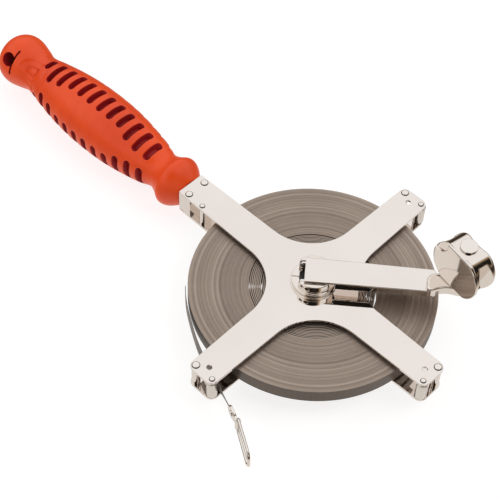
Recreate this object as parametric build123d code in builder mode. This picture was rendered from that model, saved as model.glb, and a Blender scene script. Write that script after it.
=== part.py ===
"""Open four-arm tape reel with a wound steel blade, a folding crank and a slotted grip.

Frame: origin on the spool axis at the outer face of the back plate, +Z towards the crank,
the grip along -X. All sizes in millimetres.
"""
import os
from math import cos, hypot, radians, sin, sqrt

from build123d import *

os.makedirs("parts", exist_ok=True)

# ---------------------------------------------------------------- driving dimensions
FIT = 0.05                # radial clearance of a running fit
GAP = 0.3                 # clearance between pieces that move past each other

FRAME_DEPTH = 17.2        # outside to outside of the two plates
PLATE = 1.5               # plate thickness
ARM_REACH = 92.2          # spool axis to the end of each free arm
GRIP_REACH = 103.0        # spool axis to the end of the arm that carries the grip
ARM_HALF_ROOT = 10.4      # half width of an arm where it leaves the web
ARM_HALF_TIP = 9.6        # half width at the end
VALLEY_RADIUS = 31.1      # concave curve between two arms
VALLEY_CENTRE = 41.5      # its centre, along X and along Y
TIP_CORNER = 4.6          # corner radius of the free arms

POST_AT = (88.7, 6.2)     # big rivet: along the arm, across it
PIN_AT = (88.7, 6.5)      # roller pin: along the arm, across it
HOLE_AT = 84.4            # small open hole on the arm's centreline
HOLE_RADIUS = 1.6
BIG_HEAD_RADIUS = 2.45
SMALL_HEAD_RADIUS = 1.8
HEAD_HEIGHT = 0.8

BLADE_WIDTH = 9.525       # 3/8 in steel blade
COIL_RADIUS = 72.9
COIL_BORE = 37.4
DRUM_RADIUS = 22.0

AXLE_RADIUS = 4.0
HUB_FLANGE_RADIUS = 13.0
CHEEK_RADIUS = 11.7
CHEEK_INNER = 7.4         # half of the slot between the two hub cheeks
RECESS_RADIUS = 8.5

CRANK_ANGLE = 39.4        # where the crank points, from +X
CRANK_TOP = 10.7          # its upper face above the front plate
CRANK_THICK = 1.5
CRANK_HALF_ROOT = 8.65
CRANK_HALF_END = 7.9
CRANK_REAR = -5.5         # rear end of the crank, behind the spool axis
CRANK_END = 69.0          # corners of the far end
CRANK_BOW = 1.8           # how far the far end bows out past its corners
FLANGE_DROP = 4.0         # depth of the crank's turned-down sides
PIVOT_BACK = 6.6          # crank pivot behind the spool axis
PIVOT_RISE = 6.6          # crank pivot above the front plate
PIVOT_RADIUS = 1.1

KNOB_AT = 83.2            # knob pin, along the crank
KNOB_TURN = 130.1         # long axis of the knob, from the crank's direction
KNOB_RISE = 3.3           # underside of the knob above the crank
KNOB_HEIGHT = 30.0
KNOB_HEAD_RADIUS = 5.1
KNOB_PIN_RADIUS = 2.5
FOOT_RIVET_AT = (67.6, -2.6)    # rivet that holds the knob's foot: along the crank, across it
FOOT_RIVET_RADIUS = 1.5

# derived
MID = FRAME_DEPTH / 2
FRONT = FRAME_DEPTH
GRIP_ARM_HALF = ARM_HALF_TIP - 0.1
INNER_LOW = PLATE
INNER_HIGH = FRAME_DEPTH - PLATE
CRANK_Z = FRONT + CRANK_TOP
WEB_Z = CRANK_Z - CRANK_THICK
PIVOT_Z = FRONT + PIVOT_RISE
KNOB_Z = CRANK_Z + KNOB_RISE
FREE_ARMS = (0, 90, 270)

crank_dir = Vector(1, 0, 0).rotate(Axis.Z, CRANK_ANGLE)
crank_side = Vector(0, 1, 0).rotate(Axis.Z, CRANK_ANGLE)


def level(height, turn=0.0):
    """Horizontal plane at a height, its x axis turned about Z."""
    return Plane((0, 0, height), x_dir=Vector(1, 0, 0).rotate(Axis.Z, turn), z_dir=(0, 0, 1))


def keep(item, name):
    """Label a finished piece and write it to its own file."""
    item.part.label = name
    export_step(item.part, f"parts/{name}.step")


# ---------------------------------------------------------------- frame plates
def plate_outline():
    """Four arms joined by concave curves, drawn in the open sketch."""
    Rectangle(2 * VALLEY_CENTRE, 2 * VALLEY_CENTRE)
    with GridLocations(2 * VALLEY_CENTRE, 2 * VALLEY_CENTRE, 2, 2):
        Circle(VALLEY_RADIUS, mode=Mode.SUBTRACT)
    for angle in (0, 90, 180, 270):
        reach = GRIP_REACH if angle == 180 else ARM_REACH
        tip = GRIP_ARM_HALF if angle == 180 else ARM_HALF_TIP
        with Locations(Rotation(0, 0, angle)):
            Polygon(
                (VALLEY_CENTRE - 1, -ARM_HALF_ROOT), (reach, -tip),
                (reach, tip), (VALLEY_CENTRE - 1, ARM_HALF_ROOT), align=None,
            )


def across(angle, side):
    """Lateral sign of the big rivet on an arm; the roller pin sits on the other side."""
    return side if angle in (0, 90) else -side


def arm_point(angle, along, lateral):
    return Vector(along, lateral, 0).rotate(Axis.Z, angle)


def post_points():
    return [arm_point(a, POST_AT[0], across(a, POST_AT[1])) for a in FREE_ARMS]


def pin_points():
    return [arm_point(a, PIN_AT[0], across(a, -PIN_AT[1])) for a in FREE_ARMS]


GRIP_RIVETS = [Vector(-97.0, 6.46, 0), Vector(-97.0, -6.46, 0)]
GRIP_POST = Vector(-84.8, -7.2, 0)
SHANK_RADIUS = 1.6
PIN_RADIUS = 1.0
BUSH_RADIUS = 6.0

for plate_name, base in (("back_plate", 0.0), ("front_plate", INNER_HIGH)):
    with BuildPart() as plate:
        with BuildSketch(Plane.XY.offset(base)) as outline:
            plate_outline()
            tips = [v for v in outline.vertices() if hypot(v.X, v.Y) > ARM_REACH - 1]
            fillet([v for v in tips if v.X > -ARM_REACH], TIP_CORNER)
            square = [v for v in outline.vertices() if v.X < -GRIP_REACH + 0.5]
            fillet(square, 0.8)
        extrude(amount=PLATE)
        with BuildSketch(Plane.XY.offset(base)):
            with Locations(*post_points(), *GRIP_RIVETS):
                Circle(SHANK_RADIUS)
            with Locations(*pin_points(), GRIP_POST):
                Circle(PIN_RADIUS)
            with Locations(*[arm_point(a, HOLE_AT, 0) for a in FREE_ARMS]):
                Circle(HOLE_RADIUS)
            Circle(BUSH_RADIUS)
        extrude(amount=PLATE, mode=Mode.SUBTRACT)
        rims = plate.edges().filter_by(GeomType.LINE).filter_by(Plane.XY)
        chamfer(rims, 0.2)
    keep(plate, plate_name)


def headed_rivets(name, points, shank, body, head):
    """Shouldered rivets between the plates, domed in front and flush behind."""
    with BuildPart() as rivets:
        for point in points:
            with BuildSketch(Plane.XY):
                with Locations(point):
                    Circle(shank)
            extrude(amount=FRONT)
            if body > shank:
                with BuildSketch(Plane.XY.offset(INNER_LOW)):
                    with Locations(point):
                        Circle(body)
                extrude(amount=INNER_HIGH - INNER_LOW)
            with BuildSketch(Plane.XY.offset(FRONT)):
                with Locations(point):
                    Circle(head)
            extrude(amount=HEAD_HEIGHT)
        domes = rivets.edges().filter_by(GeomType.CIRCLE).group_by(Axis.Z)[-1]
        fillet(domes, 0.45)
    keep(rivets, name)


headed_rivets("corner_posts", post_points(), SHANK_RADIUS, 2.5, BIG_HEAD_RADIUS)
headed_rivets("roller_pins", pin_points(), PIN_RADIUS, PIN_RADIUS, SMALL_HEAD_RADIUS)
headed_rivets("grip_rivets", GRIP_RIVETS, SHANK_RADIUS, SHANK_RADIUS, BIG_HEAD_RADIUS)
headed_rivets("side_post", [GRIP_POST], PIN_RADIUS, 1.7, SMALL_HEAD_RADIUS)

# ---------------------------------------------------------------- guide rollers
ROLLER_RADIUS = 3.2
for roller_name, point in zip(("roller_right", "roller_far", "roller_near"), pin_points()):
    with BuildPart() as roller:
        with BuildSketch(Plane.XY.offset(INNER_LOW + GAP)):
            with Locations(point):
                Circle(ROLLER_RADIUS)
                Circle(PIN_RADIUS + FIT, mode=Mode.SUBTRACT)
        extrude(amount=INNER_HIGH - INNER_LOW - 2 * GAP)
        outer = roller.edges().filter_by(GeomType.CIRCLE)
        chamfer([e for e in outer if e.radius > ROLLER_RADIUS - 0.1], 0.4)
    keep(roller, roller_name)

# ---------------------------------------------------------------- grip block, rod, core, grip, nut
BLOCK_START = 93.6
ROD_RADIUS = 4.0
ROD_END = 251.0
with BuildPart() as grip_block:
    with BuildSketch(Plane.XY.offset(INNER_LOW)):
        with Locations((-(BLOCK_START + GRIP_REACH) / 2, 0)):
            Rectangle(GRIP_REACH - BLOCK_START, 2 * GRIP_ARM_HALF - 0.6)
        with Locations(*GRIP_RIVETS):
            Circle(SHANK_RADIUS, mode=Mode.SUBTRACT)
    extrude(amount=INNER_HIGH - INNER_LOW)
    with BuildSketch(Plane.YZ.offset(-GRIP_REACH)):
        with Locations((0, MID)):
            Circle(ROD_RADIUS)
    extrude(amount=GRIP_REACH - BLOCK_START - 1.0, mode=Mode.SUBTRACT)
keep(grip_block, "grip_block")

rod_start = BLOCK_START + 1.0
with BuildPart() as grip_rod:
    with BuildSketch(Plane.YZ.offset(-ROD_END)):
        with Locations((0, MID)):
            Circle(ROD_RADIUS)
    extrude(amount=ROD_END - rod_start)
keep(grip_rod, "grip_rod")

# outer radius of the grip at stations along the rod
GRIP_START = 103.4
GRIP_END = 275.0
GRIP_PROFILE = [
    (111, 15.4), (116, 16.6), (121, 14.0), (127, 12.2), (136, 14.9), (151, 17.8), (166, 19.8),
    (183, 20.5), (200, 20.0), (216, 18.3), (231, 15.7), (243, 13.5), (251, 15.4), (259, 17.2),
    (265, 16.8), (270, 14.0), (273, 9.8),
]
CORE_DEPTH = 4.6
CORE_FROM = 130.0
CORE_TO = 246.0
GRIP_TURN = 50.5          # middle of the broad spine, from +Z towards -Y
SLOT_FIRST = 134.6
SLOT_PITCH = 9.0
SLOT_WIDTH = 4.5
BROAD_HALF = [13.5, 13.5, 20, 31, 31, 31, 31, 31, 31, 21, 14.5, 38]   # degrees, slot by slot
NARROW_HALF = 14.0        # half width of the two narrow spines, in degrees
LANYARD_AT = 259.9
LANYARD_RADIUS = 4.7
SLIT_AT = 256.0
SLIT_WIDTH = 1.3
SLIT_LENGTH = 17.6
SLIT_FLOOR = 8.0          # its depth ends this far from the grip's axis


def along_grip(distance, radius):
    return (-distance, MID + radius)


def grip_spoke(degrees, radius):
    """Point of the grip's cross-section at an angle from +Z towards -Y."""
    return (-radius * sin(radians(degrees)), MID + radius * cos(radians(degrees)))


def slot_wedges(broad):
    """The four rows' open sectors at one station."""
    for opposite in (0, 180):
        middle = GRIP_TURN + opposite
        for start, finish in ((middle - 90 + NARROW_HALF, middle - broad),
                              (middle + broad, middle + 90 - NARROW_HALF)):
            half_way = (start + finish) / 2
            Polygon((0, MID), grip_spoke(start, 30), grip_spoke(half_way, 32),
                    grip_spoke(finish, 30), align=None)


core_stations = [(s, r - CORE_DEPTH) for s, r in GRIP_PROFILE if CORE_FROM < s < CORE_TO - 2]
with BuildPart() as grip_core:
    with BuildSketch(Plane.XZ):
        with BuildLine():
            Polyline(along_grip(CORE_FROM, ROD_RADIUS), along_grip(CORE_FROM, 8.4),
                     along_grip(*core_stations[0]))
            Spline(*[along_grip(s, r) for s, r in core_stations])
            Polyline(along_grip(*core_stations[-1]), along_grip(CORE_TO, 9.0),
                     along_grip(CORE_TO, ROD_RADIUS), along_grip(CORE_FROM, ROD_RADIUS))
        make_face()
    revolve(axis=Axis((0, 0, MID), (1, 0, 0)))
keep(grip_core, "grip_core")

NUT_RADIUS = 7.0
NUT_LENGTH = 5.0
with BuildPart() as grip_nut:
    with BuildSketch(Plane.YZ.offset(-CORE_TO - NUT_LENGTH)):
        with Locations((0, MID)):
            RegularPolygon(NUT_RADIUS, 6)
            Circle(ROD_RADIUS, mode=Mode.SUBTRACT)
    extrude(amount=NUT_LENGTH)
keep(grip_nut, "grip_nut")

lanyard_plane = Plane((-LANYARD_AT, 0, MID), x_dir=(1, 0, 0),
                      z_dir=(0, -sin(radians(GRIP_TURN)), cos(radians(GRIP_TURN))))
with BuildPart() as grip:
    with BuildSketch(Plane.XZ):
        with BuildLine():
            Polyline(along_grip(GRIP_END, 0), along_grip(GRIP_START, 0),
                     along_grip(GRIP_START, 9.0), along_grip(GRIP_START + 1.2, 10.4))
            Spline(along_grip(GRIP_START + 1.2, 10.4), *[along_grip(s, r) for s, r in GRIP_PROFILE],
                   along_grip(GRIP_END - 0.6, 5.6))
            Polyline(along_grip(GRIP_END - 0.6, 5.6), along_grip(GRIP_END, 4.0),
                     along_grip(GRIP_END, 0))
        make_face()
    revolve(axis=Axis((0, 0, MID), (1, 0, 0)))
    with BuildPart(mode=Mode.PRIVATE) as slots:
        for index, broad in enumerate(BROAD_HALF):
            middle = SLOT_FIRST + index * SLOT_PITCH
            with BuildSketch(Plane.YZ.offset(-middle - SLOT_WIDTH / 2)):
                slot_wedges(broad)
                with Locations((0, MID)):
                    Circle(7.6, mode=Mode.SUBTRACT)
            extrude(amount=SLOT_WIDTH)
    add(slots.part, mode=Mode.SUBTRACT)
    add(grip_core.part, mode=Mode.SUBTRACT)
    with BuildSketch(Plane.YZ.offset(-ROD_END)):
        with Locations((0, MID)):
            Circle(ROD_RADIUS)
    extrude(amount=ROD_END - GRIP_START + 1, mode=Mode.SUBTRACT)
    with BuildSketch(Plane.YZ.offset(-CORE_TO - NUT_LENGTH)):
        with Locations((0, MID)):
            RegularPolygon(NUT_RADIUS, 6)
    extrude(amount=NUT_LENGTH, mode=Mode.SUBTRACT)
    with BuildSketch(lanyard_plane):
        Circle(LANYARD_RADIUS)
    extrude(amount=25, both=True, mode=Mode.SUBTRACT)
    with BuildSketch(lanyard_plane.offset(SLIT_FLOOR)):
        with Locations((LANYARD_AT - SLIT_AT, 0)):
            Rectangle(SLIT_WIDTH, SLIT_LENGTH)
    extrude(amount=15, mode=Mode.SUBTRACT)
keep(grip, "grip_shell")

# ---------------------------------------------------------------- spool bearings
BUSH_FLANGE = 0.8
with BuildPart() as rear_bush:
    with BuildSketch(Plane.XY):
        Circle(BUSH_RADIUS)
    extrude(amount=PLATE + 0.4)
    with BuildSketch(Plane.XY.offset(PLATE)):
        Circle(BUSH_RADIUS + 2.5)
    extrude(amount=0.4)
    with BuildSketch(Plane.XY.offset(0.7)):
        Circle(AXLE_RADIUS + FIT)
    extrude(amount=PLATE, mode=Mode.SUBTRACT)
keep(rear_bush, "rear_bush")

with BuildPart() as front_bush:
    with BuildSketch(Plane.XY.offset(INNER_HIGH)):
        Circle(BUSH_RADIUS)
        Circle(AXLE_RADIUS + FIT, mode=Mode.SUBTRACT)
    extrude(amount=PLATE)
    with BuildSketch(Plane.XY.offset(FRONT)):
        Circle(HUB_FLANGE_RADIUS + 0.7)
        Circle(AXLE_RADIUS + FIT, mode=Mode.SUBTRACT)
    extrude(amount=BUSH_FLANGE)
    lips = front_bush.edges().filter_by(GeomType.CIRCLE)
    chamfer([e for e in lips if e.radius > HUB_FLANGE_RADIUS], 0.25)
keep(front_bush, "front_bush")

# ---------------------------------------------------------------- spool
HUB_BASE = FRONT + BUSH_FLANGE + GAP
HUB_FLANGE_TOP = FRONT + 3.0
RECESS_FLOOR = FRONT + 1.8
CHEEK_TOP = PIVOT_Z + 2.4
with BuildPart() as axle:
    with BuildSketch(Plane.XY.offset(1.0)):
        Circle(AXLE_RADIUS)
    extrude(amount=RECESS_FLOOR - 1.0)
    chamfer(axle.edges().filter_by(GeomType.CIRCLE).sort_by(Axis.Z)[0], 0.5)
keep(axle, "spool_axle")

DRUM_LOW = INNER_LOW + 0.8
DRUM_HIGH = INNER_HIGH - 0.8
with BuildPart() as drum:
    with BuildSketch(Plane.XY.offset(DRUM_LOW)):
        Circle(DRUM_RADIUS)
        Circle(DRUM_RADIUS - 2.0, mode=Mode.SUBTRACT)
        Circle(AXLE_RADIUS + 4.0)
        for spoke in (0, 60, 120):
            with Locations(Rotation(0, 0, spoke)):
                Rectangle(2 * DRUM_RADIUS - 2, 4.0)
        Circle(AXLE_RADIUS, mode=Mode.SUBTRACT)
    extrude(amount=DRUM_HIGH - DRUM_LOW)
keep(drum, "spool_drum")

# the blade's inner end is held against the drum by a plate and a screw
BLADE_LOW = MID - BLADE_WIDTH / 2
BLADE_HIGH = MID + BLADE_WIDTH / 2
TURN_THICK = 0.5
TURNS = 6
SPIRAL_START = DRUM_RADIUS + TURN_THICK / 2
SPIRAL_STEP = (COIL_BORE - TURN_THICK / 2 - SPIRAL_START) / TURNS


def spiral_arcs():
    """Half circles of growing radius about two centres, which make a smooth spiral."""
    radius = SPIRAL_START
    start = Vector(radius, 0, 0)
    for half in range(2 * TURNS):
        heading = 1 if half % 2 == 0 else -1
        centre = start - Vector(heading * radius, 0, 0)
        finish = centre - Vector(heading * radius, 0, 0)
        ThreePointArc(start, centre + Vector(0, heading * radius, 0), finish)
        start = finish
        radius += SPIRAL_STEP / 2


with BuildPart() as inner_turns:
    with BuildSketch(Plane.XY.offset(BLADE_LOW)):
        with BuildLine() as spiral:
            spiral_arcs()
        trace(line_width=TURN_THICK)
        Circle(DRUM_RADIUS, mode=Mode.SUBTRACT)
    extrude(amount=BLADE_WIDTH)
    with BuildSketch(Plane.XY.offset(BLADE_LOW)):
        Circle(COIL_BORE, mode=Mode.ADD)
    extrude(amount=BLADE_WIDTH, mode=Mode.INTERSECT)
keep(inner_turns, "blade_inner_turns")

with BuildPart() as anchor:
    with BuildSketch(Plane.XY.offset(MID - 3)):
        with BuildLine():
            CenterArc((0, 0), DRUM_RADIUS + 0.75, -22, 16)
        trace(line_width=0.4)
    extrude(amount=6)
keep(anchor, "blade_anchor")

with BuildPart() as coil:
    with BuildSketch(Plane.XY.offset(BLADE_LOW)):
        Circle(COIL_RADIUS)
        Circle(COIL_BORE, mode=Mode.SUBTRACT)
    extrude(amount=BLADE_WIDTH)
keep(coil, "blade_coil")

# ---------------------------------------------------------------- hub, cap, set screw
HUB_SLIT = ((-10.5, 0), 6, 0.5)    # slit through the rear of the ring: centre, length, width
EAR_RADIUS = 2.4          # round corner of each cheek about the crank pivot
SET_SCREW_AT = (-3.4, FRONT + 6.4)
SET_SCREW_RADIUS = 1.3
SET_SCREW_LOW = 9.2       # foot of its socket, from the hub's middle
SET_SCREW_HEAD = 10.4
SOCKET_RADIUS = 0.7
CAP_THICK = 0.5
CAP_HEAD = (4.6, 1.0)     # radius and height
CAP_SOCKET = 2.2
with BuildPart() as hub:
    with BuildSketch(level(HUB_BASE, CRANK_ANGLE)):
        Circle(HUB_FLANGE_RADIUS)
    extrude(amount=HUB_FLANGE_TOP - HUB_BASE)
    with BuildSketch(level(HUB_FLANGE_TOP, CRANK_ANGLE)):
        Circle(CHEEK_RADIUS)
        Rectangle(2 * CHEEK_RADIUS + 2, 2 * CHEEK_INNER, mode=Mode.SUBTRACT)
        with Locations((-PIVOT_BACK - EAR_RADIUS - 5, 0)):
            Rectangle(10, 3 * CHEEK_RADIUS, mode=Mode.SUBTRACT)
    extrude(amount=CHEEK_TOP - HUB_FLANGE_TOP)
    with BuildSketch(level(RECESS_FLOOR, CRANK_ANGLE)):
        Circle(RECESS_RADIUS)
    extrude(amount=CHEEK_TOP, mode=Mode.SUBTRACT)
    with BuildSketch(level(RECESS_FLOOR, CRANK_ANGLE)):
        with Locations(HUB_SLIT[0]):
            Rectangle(HUB_SLIT[1], HUB_SLIT[2])
    extrude(amount=CHEEK_TOP, mode=Mode.SUBTRACT)
    with BuildSketch(level(0, CRANK_ANGLE)):
        Circle(AXLE_RADIUS)
    extrude(amount=FRONT + 10, mode=Mode.SUBTRACT)
    cheek_side = Plane((0, 0, 0), x_dir=crank_dir, z_dir=-crank_side)
    with BuildSketch(cheek_side):
        with Locations((-PIVOT_BACK - 5, PIVOT_Z + 5)):
            Rectangle(10, 10)
        with Locations((-PIVOT_BACK, PIVOT_Z)):
            Circle(EAR_RADIUS, mode=Mode.SUBTRACT)
        with Locations((-PIVOT_BACK, PIVOT_Z)):
            Circle(PIVOT_RADIUS)
    extrude(amount=15, both=True, mode=Mode.SUBTRACT)
    with BuildSketch(cheek_side.offset(CHEEK_RADIUS + 2)):
        with Locations(SET_SCREW_AT):
            Circle(SET_SCREW_RADIUS)
    extrude(amount=-(CHEEK_RADIUS + 2 - CHEEK_INNER + 1), mode=Mode.SUBTRACT)
keep(hub, "crank_hub")

with BuildPart() as cap:
    with BuildSketch(level(RECESS_FLOOR)):
        Circle(RECESS_RADIUS - 0.15)
    extrude(amount=CAP_THICK)
    with BuildSketch(level(RECESS_FLOOR + CAP_THICK)):
        Circle(CAP_HEAD[0])
        RegularPolygon(CAP_SOCKET, 6, mode=Mode.SUBTRACT)
    extrude(amount=CAP_HEAD[1])
keep(cap, "axle_screw")

with BuildPart() as set_screw:
    with BuildSketch(cheek_side.offset(SET_SCREW_HEAD)):
        with Locations(SET_SCREW_AT):
            Circle(SET_SCREW_RADIUS)
            RegularPolygon(SOCKET_RADIUS, 6, mode=Mode.SUBTRACT)
    extrude(amount=SET_SCREW_LOW - SET_SCREW_HEAD)
    with BuildSketch(cheek_side.offset(SET_SCREW_LOW)):
        with Locations(SET_SCREW_AT):
            Circle(SET_SCREW_RADIUS)
    extrude(amount=CHEEK_INNER + 0.1 - SET_SCREW_LOW)
keep(set_screw, "set_screw")

# ---------------------------------------------------------------- crank
LUG_OUTER = CHEEK_INNER - GAP
LUG_THICK = 1.5
FLANGE_START = CHEEK_RADIUS + 0.6
FLANGE_STOP = CRANK_END - 1.0
FLANGE_ROOT = CRANK_HALF_ROOT - 0.3    # outer face of each turned-down side
FLANGE_TIP = CRANK_HALF_END - 0.1
with BuildPart() as crank:
    with BuildSketch(level(WEB_Z, CRANK_ANGLE)):
        with BuildLine():
            Polyline((CRANK_END, CRANK_HALF_END), (CRANK_REAR, CRANK_HALF_ROOT),
                     (CRANK_REAR, -CRANK_HALF_ROOT), (CRANK_END, -CRANK_HALF_END))
            ThreePointArc((CRANK_END, -CRANK_HALF_END), (CRANK_END + CRANK_BOW, 0),
                          (CRANK_END, CRANK_HALF_END))
        make_face()
        with Locations(FOOT_RIVET_AT):
            Circle(FOOT_RIVET_RADIUS, mode=Mode.SUBTRACT)
    extrude(amount=CRANK_THICK)
    with BuildSketch(level(WEB_Z - FLANGE_DROP, CRANK_ANGLE)):
        for side in (-1, 1):
            Polygon(
                (FLANGE_START, side * FLANGE_ROOT), (FLANGE_STOP, side * FLANGE_TIP),
                (FLANGE_STOP, side * (FLANGE_TIP - CRANK_THICK)),
                (FLANGE_START, side * (FLANGE_ROOT - CRANK_THICK)), align=None,
            )
    extrude(amount=FLANGE_DROP)
    for side in (-1, 1):
        with BuildSketch(cheek_side.offset(side * LUG_OUTER)):
            with BuildLine():
                Polyline((CRANK_REAR, WEB_Z), (8.0, WEB_Z), (4.0, PIVOT_Z - 2.0),
                         (-PIVOT_BACK, PIVOT_Z - 2.0))
                ThreePointArc((-PIVOT_BACK, PIVOT_Z - 2.0), (-PIVOT_BACK - 2.0, PIVOT_Z),
                              (-PIVOT_BACK, PIVOT_Z + 2.0))
                Polyline((-PIVOT_BACK, PIVOT_Z + 2.0), (CRANK_REAR, PIVOT_Z + 2.0),
                         (CRANK_REAR, WEB_Z))
            make_face()
            with Locations((-PIVOT_BACK, PIVOT_Z)):
                Circle(PIVOT_RADIUS + FIT, mode=Mode.SUBTRACT)
        extrude(amount=-side * LUG_THICK)
keep(crank, "crank_arm")

pin_half = sqrt(CHEEK_RADIUS ** 2 - PIVOT_BACK ** 2) - 0.4
with BuildPart() as crank_pin:
    with BuildSketch(cheek_side.offset(-pin_half)):
        with Locations((-PIVOT_BACK, PIVOT_Z)):
            Circle(PIVOT_RADIUS)
    extrude(amount=2 * pin_half)
    chamfer(crank_pin.edges().filter_by(GeomType.CIRCLE), 0.2)
keep(crank_pin, "crank_pin")

# ---------------------------------------------------------------- knob
FOOT_TOP = CRANK_Z + KNOB_RISE - GAP
FOOT_LOW = CRANK_Z - 4.2
FOOT_HEEL = ((66.8, -6.2), 3.0)    # the foot's outline wraps these circles: centre, radius
FOOT_CROWN = ((69.8, -2.6), 5.9)
FOOT_TOE = ((KNOB_AT, 0), 7.2)
FOOT_WAIST = ((76.3, -20.2), 14.0)    # hollow between heel and toe
FOOT_BRIM = 1.4
SEAT_CLEAR = 0.3          # gap between the foot and the crank's sides and end
SEAT_LENGTH = 20.0
with BuildPart() as foot:
    with BuildSketch(level(FOOT_LOW, CRANK_ANGLE)):
        for centre, radius in (FOOT_HEEL, FOOT_CROWN, FOOT_TOE):
            with Locations(centre):
                Circle(radius)
        make_hull()
        with Locations(FOOT_WAIST[0]):
            Circle(FOOT_WAIST[1], mode=Mode.SUBTRACT)
    extrude(amount=FOOT_TOP - FOOT_LOW)
    fillet(foot.edges().group_by(Axis.Z)[-1], FOOT_BRIM)
    seat_end = CRANK_END + CRANK_BOW + SEAT_CLEAR
    with BuildSketch(level(FOOT_LOW - 1, CRANK_ANGLE)):
        with Locations((seat_end - SEAT_LENGTH / 2, 0)):
            Rectangle(SEAT_LENGTH, 2 * (CRANK_HALF_END + SEAT_CLEAR))
    extrude(amount=CRANK_Z - FOOT_LOW + 1, mode=Mode.SUBTRACT)
    with BuildSketch(level(0, CRANK_ANGLE)):
        with Locations((KNOB_AT, 0)):
            Circle(KNOB_PIN_RADIUS)
        with Locations(FOOT_RIVET_AT):
            Circle(FOOT_RIVET_RADIUS)
    extrude(amount=FOOT_TOP + 1, mode=Mode.SUBTRACT)
keep(foot, "knob_foot")

with BuildPart() as foot_rivet:
    with BuildSketch(level(WEB_Z - 0.8, CRANK_ANGLE)):
        with Locations(FOOT_RIVET_AT):
            Circle(FOOT_RIVET_RADIUS)
    extrude(amount=FOOT_TOP - WEB_Z + 0.4)
keep(foot_rivet, "foot_rivet")

knob_dir = crank_dir.rotate(Axis.Z, KNOB_TURN)
knob_centre = crank_dir * KNOB_AT + Vector(0, 0, KNOB_Z + KNOB_HEIGHT / 2)
knob_face = Plane(knob_centre, x_dir=-knob_dir, z_dir=(-knob_dir).cross(Vector(0, 0, 1)))
FACE_OUT = 8.4            # flat oval face, from the knob pin
BACK_OUT = 7.8            # far face, from the knob pin
FACE_THICK = 1.8
OVAL = (18.0, 17.4)       # half sizes of the oval face
OVAL_SHIFT = 0.6
BODY_STEP = 0.9           # the body is this much smaller than its face
POCKET_TIP = 7.5          # deepest point of each end pocket, from the knob pin
POCKET_REACH = 24.0       # where its sides are taken to, past the ends of the knob
POCKET_HALF = (8.2, 33.0)    # half width and half height out there


def end_pocket(heading):
    """Wedge-shaped pocket in one end of the knob, with its tip towards the pin."""
    tip = heading * POCKET_TIP
    mouth = heading * POCKET_REACH
    wide, tall = POCKET_HALF
    with BuildPart() as pocket:
        with BuildSketch(knob_face.offset(-BACK_OUT - 1)):
            Polygon((tip, 0), (mouth, -tall), (mouth, tall), align=None)
        extrude(amount=BACK_OUT + FACE_OUT + 2)
        with BuildSketch(Plane(knob_centre - Vector(0, 0, tall), x_dir=-knob_dir, z_dir=(0, 0, 1))):
            Polygon((tip, 0), (mouth, -wide), (mouth, wide), align=None)
        extrude(amount=2 * tall, mode=Mode.INTERSECT)
    return pocket.part


with BuildPart() as knob:
    for inset, low, high in ((BODY_STEP, -BACK_OUT, FACE_OUT - FACE_THICK),
                             (0.0, FACE_OUT - FACE_THICK, FACE_OUT)):
        with BuildSketch(knob_face.offset(low)):
            with Locations((OVAL_SHIFT, 0)):
                Ellipse(OVAL[0] - inset, OVAL[1] - inset)
            Rectangle(60, KNOB_HEIGHT, mode=Mode.INTERSECT)
        extrude(amount=high - low)
    for heading in (-1, 1):
        add(end_pocket(heading), mode=Mode.SUBTRACT)
    with BuildSketch(level(0, CRANK_ANGLE)):
        with Locations((KNOB_AT, 0)):
            Circle(KNOB_PIN_RADIUS + FIT)
    extrude(amount=KNOB_Z + KNOB_HEIGHT + 1, mode=Mode.SUBTRACT)
keep(knob, "knob_body")

with BuildPart() as knob_pin:
    with BuildSketch(level(FOOT_LOW, CRANK_ANGLE)):
        with Locations((KNOB_AT, 0)):
            Circle(KNOB_PIN_RADIUS)
    extrude(amount=KNOB_Z + KNOB_HEIGHT + GAP - FOOT_LOW)
    with BuildSketch(level(KNOB_Z + KNOB_HEIGHT + GAP, CRANK_ANGLE)):
        with Locations((KNOB_AT, 0)):
            Circle(KNOB_HEAD_RADIUS)
    extrude(amount=1.1)
    fillet(knob_pin.edges().filter_by(GeomType.CIRCLE).sort_by(Axis.Z)[-1], 0.4)
keep(knob_pin, "knob_pin")

# ---------------------------------------------------------------- free end of the blade
LEAD_THICK = 0.4
near_pin = pin_points()[2]
lead_points = [
    Vector(-51.2, -53.6, 0), Vector(-28.3, -70.0, 0), Vector(-13.8, -77.6, 0),
    Vector(near_pin.X + 1.1, near_pin.Y + ROLLER_RADIUS + 0.4, 0),
]
CLIP_CENTRE = Vector(26.0, -92.3, MID)
BARREL_CENTRE = Vector(32.9, -95.0, MID)
clip_dir = (BARREL_CENTRE - CLIP_CENTRE).normalized()
clip_plane = Plane(CLIP_CENTRE, x_dir=clip_dir, z_dir=clip_dir.cross(Vector(0, 0, 1)))
free_start = lead_points[3] + Vector(0, 0, MID)
free_dir = (CLIP_CENTRE - free_start).normalized()


def blade_section(share, twist):
    """Plane square to the free blade, its long side turned from upright by twist degrees."""
    place = free_start + (CLIP_CENTRE - free_start) * share
    upright = Vector(0, 0, 1).rotate(Axis(place, free_dir), twist)
    return Plane(place, x_dir=upright, z_dir=free_dir)


with BuildPart() as lead:
    with BuildSketch(Plane.XY.offset(BLADE_LOW)):
        with BuildLine():
            Spline(*lead_points, tangents=[(0.70, -0.714), (free_dir.X, free_dir.Y)])
        trace(line_width=LEAD_THICK)
    extrude(amount=BLADE_WIDTH)
    for share, twist in ((0, 0), (0.55, 13), (1, 4)):
        with BuildSketch(blade_section(share, twist)):
            Rectangle(BLADE_WIDTH - 3.0 * share, LEAD_THICK)
    loft()
keep(lead, "blade_lead")

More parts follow.
